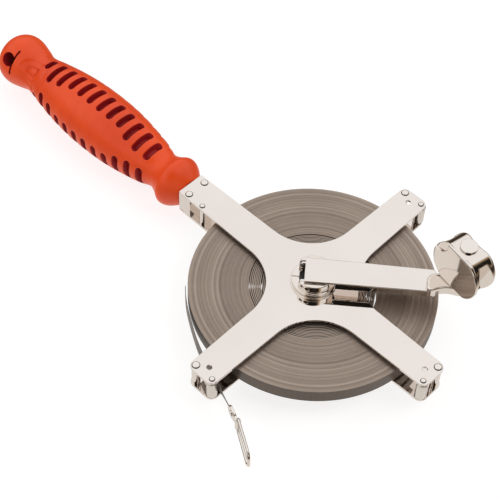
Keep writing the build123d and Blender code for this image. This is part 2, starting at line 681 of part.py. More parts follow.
CLIP_PLATE = 0.6
CLIP_THICK = 2 * CLIP_PLATE + LEAD_THICK
CLIP_OVAL = (4.8, 4.2)
BARREL_RADIUS = 1.7
BARREL_LENGTH = 8.0
WIRE_RADIUS = 0.85
RIVET_RADIUS = 1.1
barrel_reach = (BARREL_CENTRE - CLIP_CENTRE).length
barrel_plane = Plane(BARREL_CENTRE, x_dir=clip_dir, z_dir=(0, 0, 1))
with BuildPart() as clip:
    with BuildSketch(clip_plane.offset(-CLIP_THICK / 2)):
        Ellipse(*CLIP_OVAL)
        with Locations((barrel_reach / 2 + 1.0, 0)):
            Rectangle(barrel_reach - 2.0, 5.0)
        Circle(RIVET_RADIUS, mode=Mode.SUBTRACT)
    extrude(amount=CLIP_THICK)
    with BuildSketch(barrel_plane.offset(-BARREL_LENGTH / 2)):
        Circle(BARREL_RADIUS)
    extrude(amount=BARREL_LENGTH)
    with BuildSketch(barrel_plane.offset(-BARREL_LENGTH)):
        Circle(WIRE_RADIUS + FIT)
    extrude(amount=2 * BARREL_LENGTH, mode=Mode.SUBTRACT)
    add(lead.part, mode=Mode.SUBTRACT)
keep(clip, "end_clip")

with BuildPart() as clip_rivet:
    for side in (-1, 1):
        with BuildSketch(clip_plane.offset(side * CLIP_THICK / 2)):
            Circle(RIVET_RADIUS + 0.7)
        extrude(amount=side * 0.5)
    with BuildSketch(clip_plane.offset(-CLIP_THICK / 2)):
        Circle(RIVET_RADIUS)
    extrude(amount=CLIP_THICK)
    add(lead.part, mode=Mode.SUBTRACT)
keep(clip_rivet, "clip_rivet")

# wire ring: its two ends meet inside the barrel
RING_TURN = -31.5
RING_LENGTH = 25.0
RING_TOP = 8.2
RING_LOW = -5.8
RING_BAR = 5.7
ring_dir = Vector(1, 0, 0).rotate(Axis.Z, RING_TURN)
ring_plane = Plane(BARREL_CENTRE, x_dir=ring_dir, z_dir=ring_dir.cross(Vector(0, 0, 1)))
with BuildPart() as ring:
    with BuildLine(ring_plane) as ring_path:
        FilletPolyline(
            (0, 0.3), (0, RING_BAR), (RING_LENGTH - 0.8, RING_TOP), (RING_LENGTH, RING_LOW),
            (0, -RING_BAR), (0, -0.3), radius=(1.5, 4.5, 4.5, 1.5),
        )
    with BuildSketch(Plane(BARREL_CENTRE + Vector(0, 0, 0.3), x_dir=ring_dir, z_dir=(0, 0, 1))):
        Circle(WIRE_RADIUS)
    sweep(path=ring_path.line)
keep(ring, "end_ring")
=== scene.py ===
"""Looks of the open four-arm tape reel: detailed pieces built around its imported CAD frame.

Everything is in metres in the row frame: origin on the spool axis at the back plate's outer
face, +Z towards the crank, the grip along -X. Lengths written in millimetres are turned into
metres where vertices are made.
"""

import math
import random

import bmesh
import bpy
import numpy as np
from mathutils import Matrix, Vector


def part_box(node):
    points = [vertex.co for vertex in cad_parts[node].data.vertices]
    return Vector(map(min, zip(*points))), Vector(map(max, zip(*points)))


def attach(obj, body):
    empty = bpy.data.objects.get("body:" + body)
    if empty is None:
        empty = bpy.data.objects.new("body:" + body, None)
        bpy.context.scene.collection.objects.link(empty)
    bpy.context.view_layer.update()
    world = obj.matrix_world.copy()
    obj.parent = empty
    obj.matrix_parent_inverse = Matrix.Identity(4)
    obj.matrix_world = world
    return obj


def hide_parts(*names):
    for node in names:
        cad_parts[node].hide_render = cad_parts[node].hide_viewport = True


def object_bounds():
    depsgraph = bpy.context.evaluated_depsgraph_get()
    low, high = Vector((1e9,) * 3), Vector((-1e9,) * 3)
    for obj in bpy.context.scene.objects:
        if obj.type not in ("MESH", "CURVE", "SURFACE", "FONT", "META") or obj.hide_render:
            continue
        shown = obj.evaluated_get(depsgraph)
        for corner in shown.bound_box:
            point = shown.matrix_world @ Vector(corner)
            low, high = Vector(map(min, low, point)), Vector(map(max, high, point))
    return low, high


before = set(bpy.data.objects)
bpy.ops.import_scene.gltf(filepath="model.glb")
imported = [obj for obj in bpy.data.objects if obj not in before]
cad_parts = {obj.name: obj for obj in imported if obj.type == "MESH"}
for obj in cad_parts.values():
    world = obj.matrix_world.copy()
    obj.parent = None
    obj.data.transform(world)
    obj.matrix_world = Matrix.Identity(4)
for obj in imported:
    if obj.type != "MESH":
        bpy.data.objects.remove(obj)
cad_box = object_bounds()
MM = 0.001


def span(node, axis):
    """Lowest and highest coordinate of a CAD node along one axis, in millimetres."""
    low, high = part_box(node)
    return low[axis] / MM, high[axis] / MM


# ---------------------------------------------------------------- sizes read from the frame
BACK = span("back_plate", 2)[0]
PLATE = span("back_plate", 2)[1] - BACK
FRONT = span("front_plate", 2)[1]
MID = (BACK + FRONT) / 2
ARM_REACH = span("front_plate", 0)[1]
GRIP_REACH = -span("front_plate", 0)[0]
COIL_RADIUS = span("blade_coil", 0)[1]
BLADE_LOW, BLADE_HIGH = span("blade_coil", 2)
DRUM_RADIUS = span("spool_drum", 0)[1]
GRIP_START = -span("grip_shell", 0)[1]
GRIP_END = -span("grip_shell", 0)[0]
ROLLER_LOW, ROLLER_HIGH = span("roller_near", 2)

# ---------------------------------------------------------------- sizes shared with the CAD design
VALLEY_CENTRE = 41.5
VALLEY_RADIUS = 31.1
ARM_HALF_ROOT = 10.4
ARM_HALF_TIP = 9.6
TIP_CORNER = 4.6
COIL_BORE = 37.4
POST_AT = (88.7, 6.2)
PIN_AT = (88.7, 6.5)
HOLE_AT = 84.4
HOLE_RADIUS = 1.6
GRIP_RIVET_AT = (97.0, 6.46)
GRIP_POST_AT = (84.8, 7.2)
BUSH_RADIUS = 6.0
CRANK_ANGLE = math.radians(39.4)


# ---------------------------------------------------------------- mesh helpers
def shown(name, mesh, smooth):
    """Scene object of a mesh, shaded smooth below an angle in degrees."""
    mesh.shade_smooth()
    mesh.set_sharp_from_angle(angle=math.radians(smooth))
    obj = bpy.data.objects.new(name, mesh)
    bpy.context.scene.collection.objects.link(obj)
    return obj


def finish_mesh(bm, name, material, smooth=40.0):
    """Turn a bmesh into an object with clean normals and its one material or several."""
    bmesh.ops.recalc_face_normals(bm, faces=bm.faces)
    mesh = bpy.data.meshes.new(name)
    bm.to_mesh(mesh)
    bm.free()
    for item in material if isinstance(material, (list, tuple)) else [material]:
        mesh.materials.append(item)
    return shown(name, mesh, smooth)


def settle(obj, body, slot, *nodes):
    """Ride a finished piece on its body and hide the CAD nodes it stands for; the slot argument is not
    used.
    """
    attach(obj, body)
    if nodes:
        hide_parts(*nodes)
    return obj


def lathe(bm, profile, centre, steps=48, turn=0.0):
    """Revolve (radius, height) points in millimetres about a vertical line through centre."""
    x, y = centre
    rings = []
    for radius, height in profile:
        if radius < 1e-6:
            rings.append([bm.verts.new((x * MM, y * MM, height * MM))])
            continue
        ring = []
        for step in range(steps):
            angle = turn + 2 * math.pi * step / steps
            place = (x + radius * math.cos(angle), y + radius * math.sin(angle), height)
            ring.append(bm.verts.new([c * MM for c in place]))
        rings.append(ring)
    for low, high in zip(rings, rings[1:]):
        for step in range(steps):
            after = (step + 1) % steps
            if len(low) == 1 and len(high) == 1:
                continue
            if len(low) == 1:
                bm.faces.new((low[0], high[after], high[step]))
            elif len(high) == 1:
                bm.faces.new((low[step], low[after], high[0]))
            else:
                bm.faces.new((low[step], low[after], high[after], high[step]))


def rounded(points, radius, steps=4):
    """Round each inner corner of an open profile with a short arc of points."""
    out = [points[0]]
    for before, corner, after in zip(points, points[1:], points[2:]):
        corner_v = Vector(corner)
        first = Vector(before) - corner_v
        second = Vector(after) - corner_v
        reach = min(radius, 0.45 * first.length, 0.45 * second.length)
        start = corner_v + first.normalized() * reach
        end = corner_v + second.normalized() * reach
        for step in range(steps + 1):
            t = step / steps
            curve = start * (1 - t) ** 2 + corner_v * 2 * t * (1 - t) + end * t ** 2
            out.append(tuple(curve))
    out.append(points[-1])
    return out


def soft_max(a, b, blend):
    """Larger of two fields, with the crease between them rounded."""
    share = np.clip(0.5 + 0.5 * (a - b) / blend, 0.0, 1.0)
    return b * (1 - share) + a * share + blend * share * (1 - share)


def soft_min(a, b, blend):
    return -soft_max(-a, -b, blend)


def slab(x, low, high):
    return np.maximum(low - x, x - high)


def oval(x, y, half_x, half_y):
    """Distance outside an ellipse, negative inside."""
    reach = np.sqrt((x / half_x) ** 2 + (y / half_y) ** 2)
    slope = np.sqrt((x / half_x ** 2) ** 2 + (y / half_y ** 2) ** 2)
    return reach * (reach - 1.0) / np.maximum(slope, 1e-6)


def sculpt(name, field, low, high, cell, place, material, smooth=50.0):
    """Mesh of the surface where a field is zero.

    The field takes local millimetres inside the box from low to high; place turns local
    points into row-frame millimetres."""
    axes = [np.arange(a, b + cell, cell) for a, b in zip(low, high)]
    value = field(*np.meshgrid(*axes, indexing="ij"))
    inside = value < 0
    shape = [n - 1 for n in value.shape]
    total = np.zeros(shape, int)
    for i in (0, 1):
        for j in (0, 1):
            for k in (0, 1):
                total += inside[i:i + shape[0], j:j + shape[1], k:k + shape[2]]
    crossed = (total > 0) & (total < 8)
    number = np.full(shape, -1)
    number[crossed] = np.arange(np.count_nonzero(crossed))
    points = np.argwhere(crossed) * cell + np.array([a[0] for a in axes]) + cell / 2
    step = cell * 0.05
    shifts = np.eye(3) * step
    for _ in range(6):
        here = field(*points.T)
        slope = [(field(*(points + d).T) - field(*(points - d).T)) / (2 * step) for d in shifts]
        slope = np.stack(slope, 1)
        move = here / np.maximum((slope ** 2).sum(1), 0.05)
        move = slope * move[:, None]
        length = np.maximum(np.linalg.norm(move, axis=1), 1e-9)
        points = points - move * np.minimum(1.0, 0.6 * cell / length)[:, None]
    faces = []
    for axis in range(3):
        u, v = (axis + 1) % 3, (axis + 2) % 3
        near = [slice(1, -1)] * 3
        near[axis] = slice(0, -1)
        far = list(near)
        far[axis] = slice(1, None)
        first, second = inside[tuple(near)], inside[tuple(far)]
        base = np.argwhere(first != second)
        leaving = first[tuple(base.T)]
        base[:, u] += 1
        base[:, v] += 1
        ring = []
        for du, dv in ((0, 0), (1, 0), (1, 1), (0, 1)):
            spot = base.copy()
            spot[:, u] -= du
            spot[:, v] -= dv
            ring.append(number[tuple(spot.T)])
        ring = np.stack(ring, 1)
        ring[~leaving] = ring[~leaving][:, ::-1]
        faces.append(ring)
    mesh = bpy.data.meshes.new(name)
    mesh.from_pydata((place(points) * MM).tolist(), [], np.concatenate(faces).tolist())
    mesh.materials.append(material)
    return shown(name, mesh, smooth)


def placed(origin, *directions):
    """Function that turns local points into row-frame millimetres along three directions."""
    turn = np.array(directions, float)
    start = np.array(origin, float)
    return lambda points: start + points @ turn


def turned(angle, along, lateral):
    """Point of an arm's own frame placed in the row frame; angle in degrees."""
    a = math.radians(angle)
    return (along * math.cos(a) - lateral * math.sin(a), along * math.sin(a) + lateral * math.cos(a))


def arm_side(angle):
    """Lateral sign of the big rivet on a free arm; the roller sits on the other side."""
    return 1 if angle in (0, 90) else -1


# ---------------------------------------------------------------- materials
def colour_ramp(tree, source, stops):
    """Colour ramp node on a source; each stop is a position and a colour."""
    node = tree.nodes.new("ShaderNodeValToRGB")
    elements = node.color_ramp.elements
    while len(elements) < len(stops):
        elements.new(0.5)
    for element, (position, colour) in zip(elements, stops):
        element.position = position
        element.color = (*colour, 1.0)
    tree.links.new(source, node.inputs["Fac"])
    return node.outputs["Color"]


class Nodes:
    """Short way to write a node tree."""

    def __init__(self, name):
        self.material = bpy.data.materials.new(name)
        self.material.use_nodes = True
        self.tree = self.material.node_tree
        self.shader = self.tree.nodes["Principled BSDF"]
        self.place = self.add("ShaderNodeTexCoord").outputs["Object"]

    def add(self, kind, **settings):
        node = self.tree.nodes.new(kind)
        for key, value in settings.items():
            setattr(node, key, value)
        return node

    def link(self, source, target):
        self.tree.links.new(source, target)

    def set(self, **values):
        for key, value in values.items():
            self.shader.inputs[key.replace("_", " ")].default_value = value

    def noise(self, scale, detail=3.0, source=None, stretch=None):
        place = source or self.place
        if stretch:
            mapping = self.add("ShaderNodeMapping")
            mapping.inputs["Scale"].default_value = stretch
            self.link(place, mapping.inputs["Vector"])
            place = mapping.outputs["Vector"]
        node = self.add("ShaderNodeTexNoise")
        node.inputs["Scale"].default_value = scale
        node.inputs["Detail"].default_value = detail
        self.link(place, node.inputs["Vector"])
        return node.outputs["Fac"]

    def ramp(self, source, stops):
        return colour_ramp(self.tree, source, stops)

    def map(self, source, low, high, to_low, to_high):
        node = self.add("ShaderNodeMapRange")
        for key, value in (("From Min", low), ("From Max", high), ("To Min", to_low), ("To Max", to_high)):
            node.inputs[key].default_value = value
        self.link(source, node.inputs["Value"])
        return node.outputs["Result"]

    def math(self, operation, first, second=None):
        node = self.add("ShaderNodeMath", operation=operation)
        for socket, value in zip(node.inputs, (first, second)):
            if value is None:
                continue
            if isinstance(value, (int, float)):
                socket.default_value = value
            else:
                self.link(value, socket)
        return node.outputs["Value"]

    def bump(self, height, strength, distance):
        node = self.add("ShaderNodeBump")
        node.inputs["Strength"].default_value = strength
        node.inputs["Distance"].default_value = distance
        self.link(height, node.inputs["Height"])
        self.link(node.outputs["Normal"], self.shader.inputs["Normal"])

    def colour(self, source):
        self.link(source, self.shader.inputs["Base Color"])

    def roughness(self, source):
        self.link(source, self.shader.inputs["Roughness"])


def shade(colour, factor):
    return tuple(min(1.0, c * factor) for c in colour)


def plated_metal(name, colour, smooth_at, rough_at, grain=260.0, ripple=0.0):
    """Bright plating: faint cloudy tone, fine polishing scratches, slight unevenness."""
    n = Nodes(name)
    n.set(Metallic=1.0)
    cloud = n.noise(22.0, 4.0)
    n.colour(n.ramp(cloud, [(0.3, shade(colour, 0.955)), (0.7, colour)]))
    scratch = n.noise(grain, 5.0, stretch=(1.0, 9.0, 1.0))
    wear = n.math("MULTIPLY", scratch, cloud)
    n.roughness(n.map(wear, 0.12, 0.42, smooth_at, rough_at))
    height = n.noise(grain * 2.2, 2.0)
    if ripple:
        waves = n.noise(120.0, 1.0)
        height = n.math("ADD", n.math("MULTIPLY", waves, ripple), height)
    n.bump(height, 0.12, 0.00002)
    return n.material


def blade_metal(name, bright, dark, rough):
    """Steel blade seen edge on: concentric turns with slightly different tones."""
    n = Nodes(name)
    n.set(Metallic=0.85)
    split = n.add("ShaderNodeSeparateXYZ")
    n.link(n.place, split.inputs["Vector"])
    x2 = n.math("MULTIPLY", split.outputs["X"], split.outputs["X"])
    y2 = n.math("MULTIPLY", split.outputs["Y"], split.outputs["Y"])
    radius = n.math("SQRT", n.math("ADD", x2, y2))
    bands = n.add("ShaderNodeTexNoise", noise_dimensions="1D")
    bands.inputs["Scale"].default_value = 620.0
    bands.inputs["Detail"].default_value = 5.0
    bands.inputs["Roughness"].default_value = 0.62
    n.link(radius, bands.inputs["W"])
    stain = n.noise(35.0, 4.0)
    tone = n.math("ADD", n.math("MULTIPLY", bands.outputs["Fac"], 0.75),
                  n.math("MULTIPLY", stain, 0.25))
    middle = tuple((a + b) / 2 for a, b in zip(bright, dark))
    n.colour(n.ramp(tone, [(0.34, dark), (0.5, middle), (0.66, bright)]))
    n.roughness(n.map(tone, 0.3, 0.7, rough + 0.08, rough - 0.05))
    n.bump(n.noise(900.0, 2.0), 0.15, 0.00003)
    return n.material


def moulded_plastic(name, colour, deep, rough):
    """Moulded plastic: slow tone changes and fine texture."""
    n = Nodes(name)
    cloud = n.noise(28.0, 3.0)
    n.colour(n.ramp(cloud, [(0.35, deep), (0.65, colour)]))
    fine = n.noise(750.0, 3.0)
    n.roughness(n.map(fine, 0.3, 0.7, rough - 0.05, rough + 0.07))
    n.set(Specular_IOR_Level=0.42)
    n.bump(fine, 0.10, 0.00004)
    return n.material


def dark_metal(name, colour):
    n = Nodes(name)
    n.set(Metallic=0.7)
    cloud = n.noise(160.0, 4.0)
    n.colour(n.ramp(cloud, [(0.35, colour), (0.7, shade(colour, 2.2))]))
    n.roughness(n.map(cloud, 0.3, 0.7, 0.28, 0.48))
    n.bump(n.noise(1400.0, 2.0), 0.15, 0.00003)
    return n.material


NICKEL = plated_metal("nickel_sheet", (0.86, 0.805, 0.765), 0.02, 0.05)
RIVET = plated_metal("nickel_rivet", (0.87, 0.82, 0.775), 0.05, 0.11, grain=500.0)
TURNED = plated_metal("turned_steel", (0.80, 0.76, 0.72), 0.18, 0.30, grain=700.0)
CAST = plated_metal("plated_casting", (0.86, 0.80, 0.745), 0.07, 0.15, grain=420.0, ripple=2.0)
ZINC = plated_metal("zinc_steel", (0.56, 0.54, 0.51), 0.30, 0.45, grain=600.0)
BRONZE = plated_metal("bearing_metal", (0.70, 0.58, 0.40), 0.25, 0.38, grain=600.0)
BLADE = blade_metal("blade_edge", (0.45, 0.37, 0.315), (0.335, 0.27, 0.225), 0.42)
BLADE_FACE = blade_metal("blade_face", (0.20, 0.17, 0.15), (0.13, 0.11, 0.096), 0.38)
ORANGE = moulded_plastic("orange_plastic", (0.80, 0.072, 0.006), (0.70, 0.052, 0.004), 0.34)
RED = moulded_plastic("deep_red_plastic", (0.36, 0.010, 0.013), (0.27, 0.007, 0.010), 0.55)
BLACK = dark_metal("black_oxide", (0.028, 0.026, 0.026))
# painted shade: near-black colour for the thin skirt round each rivet head, standing in for the shadow and
# dark reflection where the head meets the plate
PAINTED_SHADE = dark_metal("painted_edge_shade", (0.030, 0.022, 0.016))


# ---------------------------------------------------------------- camera, lights, floor
CAMERA_AZIMUTH = math.radians(42.459)
CAMERA_ELEVATION = math.radians(52.607)
CAMERA_ROLL = math.radians(2.641)
CAMERA_DISTANCE = 0.8177
CAMERA_LENS = 98.796
CAMERA_TARGET = Vector((-0.045878, -0.005523, MID * MM))


def make_camera():
    flat = math.cos(CAMERA_ELEVATION)
    back = Vector((math.sin(CAMERA_AZIMUTH) * flat, -math.cos(CAMERA_AZIMUTH) * flat,
                   math.sin(CAMERA_ELEVATION)))
    right = Vector((math.cos(CAMERA_AZIMUTH), math.sin(CAMERA_AZIMUTH), 0))
    up = back.cross(right)
    rolled_right = right * math.cos(CAMERA_ROLL) + up * math.sin(CAMERA_ROLL)
    rolled_up = up * math.cos(CAMERA_ROLL) - right * math.sin(CAMERA_ROLL)
    turn = Matrix((rolled_right, rolled_up, back)).transposed().to_4x4()
    data = bpy.data.cameras.new("camera")
    data.lens = CAMERA_LENS
    data.sensor_width = 36.0
    data.clip_start = 0.01
    camera = bpy.data.objects.new("camera", data)
    camera.matrix_world = Matrix.Translation(CAMERA_TARGET + back * CAMERA_DISTANCE) @ turn
    bpy.context.scene.collection.objects.link(camera)
    bpy.context.scene.camera = camera


def make_light(name, direction, distance, size, power):
    """Square soft light that looks at the reel from a direction and stays out of reflections."""
    data = bpy.data.lights.new(name, "AREA")
    data.shape = "SQUARE"
    data.size = size
    data.energy = power
    light = bpy.data.objects.new(name, data)
    aim = Vector(direction).normalized()
    light.location = Vector((-0.05, 0, 0)) + aim * distance
    light.visible_glossy = False
    light.rotation_euler = aim.to_track_quat("Z", "Y").to_euler()
    bpy.context.scene.collection.objects.link(light)


# tone of the surroundings by height, from straight down (0) over level (0.5) to straight up (1)
SURROUNDINGS = [
    (0.0, (0.84, 0.80, 0.76)), (0.17, (0.80, 0.75, 0.70)), (0.27, (0.40, 0.32, 0.25)),
    (0.38, (0.050, 0.040, 0.032)), (0.53, (0.030, 0.026, 0.022)), (0.58, (0.34, 0.28, 0.22)),
    (0.65, (0.80, 0.77, 0.74)), (0.73, (1.0, 0.995, 0.985)), (1.0, (1.0, 0.995, 0.985)),
]
# direction of each opening, and the cosines where its dark core and tan rim begin
DARK_OPENINGS = [
    ((0.41, -0.448, 0.794), 0.955, 0.915),
    ((0.86, 0.18, 0.48), 0.972, 0.945),
]


def make_world():
    """White tent, dark near the horizon and in two openings, for the plating to mirror."""
    world = bpy.data.worlds.new("studio")
    bpy.context.scene.world = world
    world.use_nodes = True
    tree = world.node_tree
    background = tree.nodes["Background"]
    place = tree.nodes.new("ShaderNodeTexCoord")
    split = tree.nodes.new("ShaderNodeSeparateXYZ")
    tree.links.new(place.outputs["Generated"], split.inputs["Vector"])
    height = tree.nodes.new("ShaderNodeMapRange")
    height.inputs["From Min"].default_value = -1.0
    tree.links.new(split.outputs["Z"], height.inputs["Value"])
    tone = colour_ramp(tree, height.outputs["Result"], SURROUNDINGS)
    for direction, core, rim in DARK_OPENINGS:
        aim = tree.nodes.new("ShaderNodeVectorMath")
        aim.operation = "DOT_PRODUCT"
        aim.inputs[1].default_value = direction
        tree.links.new(place.outputs["Generated"], aim.inputs[0])
        shade_stops = [(0.0, (1, 1, 1)), (rim - 0.035, (1, 1, 1)), (rim, (0.46, 0.34, 0.22)),
                       (core - 0.02, (0.34, 0.24, 0.14)), (core, (0.012, 0.011, 0.010))]
        mix = tree.nodes.new("ShaderNodeMix")
        mix.data_type = "RGBA"
        mix.blend_type = "MULTIPLY"
        mix.inputs["Factor"].default_value = 1.0
        tree.links.new(tone, mix.inputs["A"])
        tree.links.new(colour_ramp(tree, aim.outputs["Value"], shade_stops), mix.inputs["B"])
        tone = mix.outputs["Result"]
    tree.links.new(tone, background.inputs["Color"])
    background.inputs["Strength"].default_value = 0.97


def make_floor():
    """Pale floor just under the reel; the plating mirrors the tent instead of it."""
    bm = bmesh.new()
    half = 3.0
    floor_z = cad_box[0][2] - 0.0002
    signs = ((-1, -1), (1, -1), (1, 1), (-1, 1))
    corners = [bm.verts.new((x * half, y * half, floor_z)) for x, y in signs]
    bm.faces.new(corners)
    n = Nodes("pale_floor")
    n.colour(n.ramp(n.noise(3.0), [(0.4, (0.24, 0.24, 0.24)), (0.6, (0.26, 0.26, 0.26))]))
    n.set(Roughness=0.9, Emission_Color=(1.0, 1.0, 1.0, 1.0), Emission_Strength=0.80)
    floor = finish_mesh(bm, "floor", n.material)
    floor.visible_glossy = False


make_camera()
make_world()
make_floor()
make_light("key", (0.55, 0.25, 0.9), 1.4, 0.7, 5.0)
make_light("left", (-1.0, -0.75, 0.8), 1.4, 0.45, 3.5)
make_light("far", (0.2, 1.0, 0.35), 1.4, 0.6, 2.0)
bpy.context.scene.view_settings.view_transform = "Standard"


# ---------------------------------------------------------------- plates
def arc(centre, radius, start, end, steps):
    """Points of an arc, angles in degrees."""
    out = []
    for step in range(steps + 1):
        a = math.radians(start + (end - start) * step / steps)
        out.append((centre[0] + radius * math.cos(a), centre[1] + radius * math.sin(a)))
    return out


def plate_outline():
    """One closed loop round the four arms and the four valleys between them."""
    loop = []
    for angle in (0, 90, 180, 270):
        grip_arm = angle == 180
        reach = GRIP_REACH if grip_arm else ARM_REACH
        half = ARM_HALF_TIP - 0.1 if grip_arm else ARM_HALF_TIP
        corner = 0.8 if grip_arm else TIP_CORNER
        side = [(VALLEY_CENTRE, -ARM_HALF_ROOT)]
        side += arc((reach - corner, corner - half), corner, -90, 0, 10)
        side += arc((reach - corner, half - corner), corner, 0, 90, 10)
        side += arc((VALLEY_CENTRE, VALLEY_CENTRE), VALLEY_RADIUS, 270, 180, 48)[:-1]
        loop += [turned(angle, *point) for point in side]
    return loop


def flat_part(name, loops, low, high, edge, material):
    """Flat sheet between two heights from closed loops, its edges rounded by edge."""
    data = bpy.data.curves.new(name, "CURVE")
    data.dimensions = "2D"
    data.fill_mode = "BOTH"
    data.extrude = ((high - low) / 2 - edge) * MM
    data.bevel_depth = edge * MM
    data.bevel_resolution = 2
    data.offset = -edge * MM
    for loop in loops:
        spline = data.splines.new("POLY")
        spline.points.add(len(loop) - 1)
        for point, (x, y) in zip(spline.points, loop):
            point.co = (x * MM, y * MM, 0, 1)
        spline.use_cyclic_u = True
    outline = bpy.data.objects.new(name + "_outline", data)
    bpy.context.scene.collection.objects.link(outline)
    bpy.context.view_layer.update()
    mesh = bpy.data.meshes.new_from_object(outline.evaluated_get(bpy.context.evaluated_depsgraph_get()))
    bpy.data.objects.remove(outline)
    bm = bmesh.new()
    bm.from_mesh(mesh)
    bpy.data.meshes.remove(mesh)
    bmesh.ops.remove_doubles(bm, verts=bm.verts, dist=1e-6)
    bmesh.ops.translate(bm, verts=bm.verts, vec=(0, 0, (low + high) / 2 * MM))
    return finish_mesh(bm, name, material, smooth=6.0)


def make_plates():
    loops = [plate_outline(), arc((0, 0), BUSH_RADIUS, 0, 360, 48)[:-1]]
    for angle in (0, 90, 270):
        loops.append(arc(turned(angle, HOLE_AT, 0), HOLE_RADIUS, 0, 360, 28)[:-1])
    for name, low in (("back_plate", BACK), ("front_plate", FRONT - PLATE)):
        plate = flat_part("sheet_" + name, loops, low, low + PLATE, 0.22, NICKEL)
        settle(plate, "frame", "plated_steel", name)


make_plates()


# ---------------------------------------------------------------- rivets, posts, rollers
def rivet(bm, centre, shank, body, head, rise):
    """Shouldered rivet: low domed head ringed in front by a thin skirt of painted shade, flush end behind.
    """
    inner_low = BACK + PLATE
    inner_high = FRONT - PLATE
    profile = [(0.0, BACK), (shank, BACK), (shank, inner_low), (body, inner_low),
               (body, inner_high), (shank, inner_high), (shank, FRONT), (head, FRONT)]
    dome = rounded([(head, FRONT), (head, FRONT + 0.72 * rise), (head - 0.5, FRONT + rise),
                    (0.0, FRONT + rise + 0.02)], 0.35)
    lathe(bm, profile[:-1] + dome, centre, 40)
    first_shade_face = len(bm.faces)
    # painted shade: a thin near-black skirt round the head's base stands in for the shadow where the head
    # meets the plate
    shade_skirt = [(head, FRONT + 0.42), (head + 0.20, FRONT + 0.30), (head + 0.34, FRONT + 0.02)]
    lathe(bm, shade_skirt, centre, 40)
    bm.faces.ensure_lookup_table()
    for face in bm.faces[first_shade_face:]:
        face.material_index = 1


BIG_HEAD = 2.1
SMALL_HEAD = 1.45
HEAD_RISE = 0.75


def make_rivets():
    free_arms = (0, 90, 270)
    posts = [turned(a, POST_AT[0], arm_side(a) * POST_AT[1]) for a in free_arms]
    pins = [turned(a, PIN_AT[0], -arm_side(a) * PIN_AT[1]) for a in free_arms]
    along, lateral = GRIP_RIVET_AT
    groups = {
        "corner_posts": (posts, 1.6, 2.5, BIG_HEAD),
        "roller_pins": (pins, 1.0, 1.02, SMALL_HEAD),
        "grip_rivets": ([(-along, lateral), (-along, -lateral)], 1.6, 1.62, BIG_HEAD),
        "side_post": ([(-GRIP_POST_AT[0], -GRIP_POST_AT[1])], 1.0, 1.7, SMALL_HEAD),
    }
    for node, (centres, shank, body, head) in groups.items():
        bm = bmesh.new()
        for centre in centres:
            rivet(bm, centre, shank, body, head, HEAD_RISE)
        # second material is the painted shade of the skirt round each head
        settle(finish_mesh(bm, "turned_" + node, [RIVET, PAINTED_SHADE], 35.0), "frame", "rivet_steel", node)
    for node, body, centre in zip(("roller_right", "roller_far", "roller_near"),
                                  ("roller_a", "roller_b", "roller_c"), pins):
        low, high = ROLLER_LOW, ROLLER_HIGH
        profile = rounded([(1.05, low), (2.75, low), (3.2, low + 0.45), (3.2, high - 0.45),
                           (2.75, high), (1.05, high), (1.05, low)], 0.18, 3)
        bm = bmesh.new()
        lathe(bm, profile, centre, 48)
        bmesh.ops.remove_doubles(bm, verts=bm.verts, dist=1e-7)
        settle(finish_mesh(bm, "turned_" + node, TURNED, 35.0), body, "roller_steel", node)


make_rivets()


# ---------------------------------------------------------------- wound blade
def make_coil():
    """Tight turns, each a little higher or lower than the next, as a real coil lies."""
    rng = random.Random(11)
    turns = 88
    steps = 128
    pitch = (COIL_RADIUS - COIL_BORE) / turns
    groove = 0.09
    edge = 0.07
    rows_top = []
    rows_low = []
    drift = 0.0
    for turn in range(turns):
        drift = 0.72 * drift + rng.gauss(0, 0.028)
        sway = rng.uniform(0.005, 0.035)
        phase = rng.uniform(0, 2 * math.pi)
        inner = COIL_BORE + turn * pitch
        for rows, sign, level in ((rows_top, 1, BLADE_HIGH), (rows_low, -1, BLADE_LOW)):
            rows.append((inner, level - sign * groove, 0.0, 0.0))
            rows.append((inner + edge, level + drift, sway, phase))
            rows.append((inner + pitch - edge, level + drift, sway, phase))
    rows = rows_top + [(COIL_RADIUS, BLADE_HIGH - groove, 0, 0)]
    rows += [(COIL_RADIUS, BLADE_LOW + groove, 0, 0)]
    rows += rows_low[::-1]
    bm = bmesh.new()
    rings = []
    for radius, level, sway, phase in rows:
        ring = []
        for step in range(steps):
            a = 2 * math.pi * step / steps
            height = level + sway * math.cos(a - phase)
            spot = (radius * math.cos(a) * MM, radius * math.sin(a) * MM, height * MM)
            ring.append(bm.verts.new(spot))
        rings.append(ring)
    for index, (first, second) in enumerate(zip(rings, rings[1:] + rings[:1])):
        is_face = index in (len(rows_top), len(rings) - 1)
        for step in range(steps):
            after = (step + 1) % steps
            face = bm.faces.new((first[step], first[after], second[after], second[step]))
            face.material_index = 1 if is_face else 0
    coil = finish_mesh(bm, "wound_turns", [BLADE, BLADE_FACE], 25.0)
    settle(coil, "spool", "blade_steel", "blade_coil")


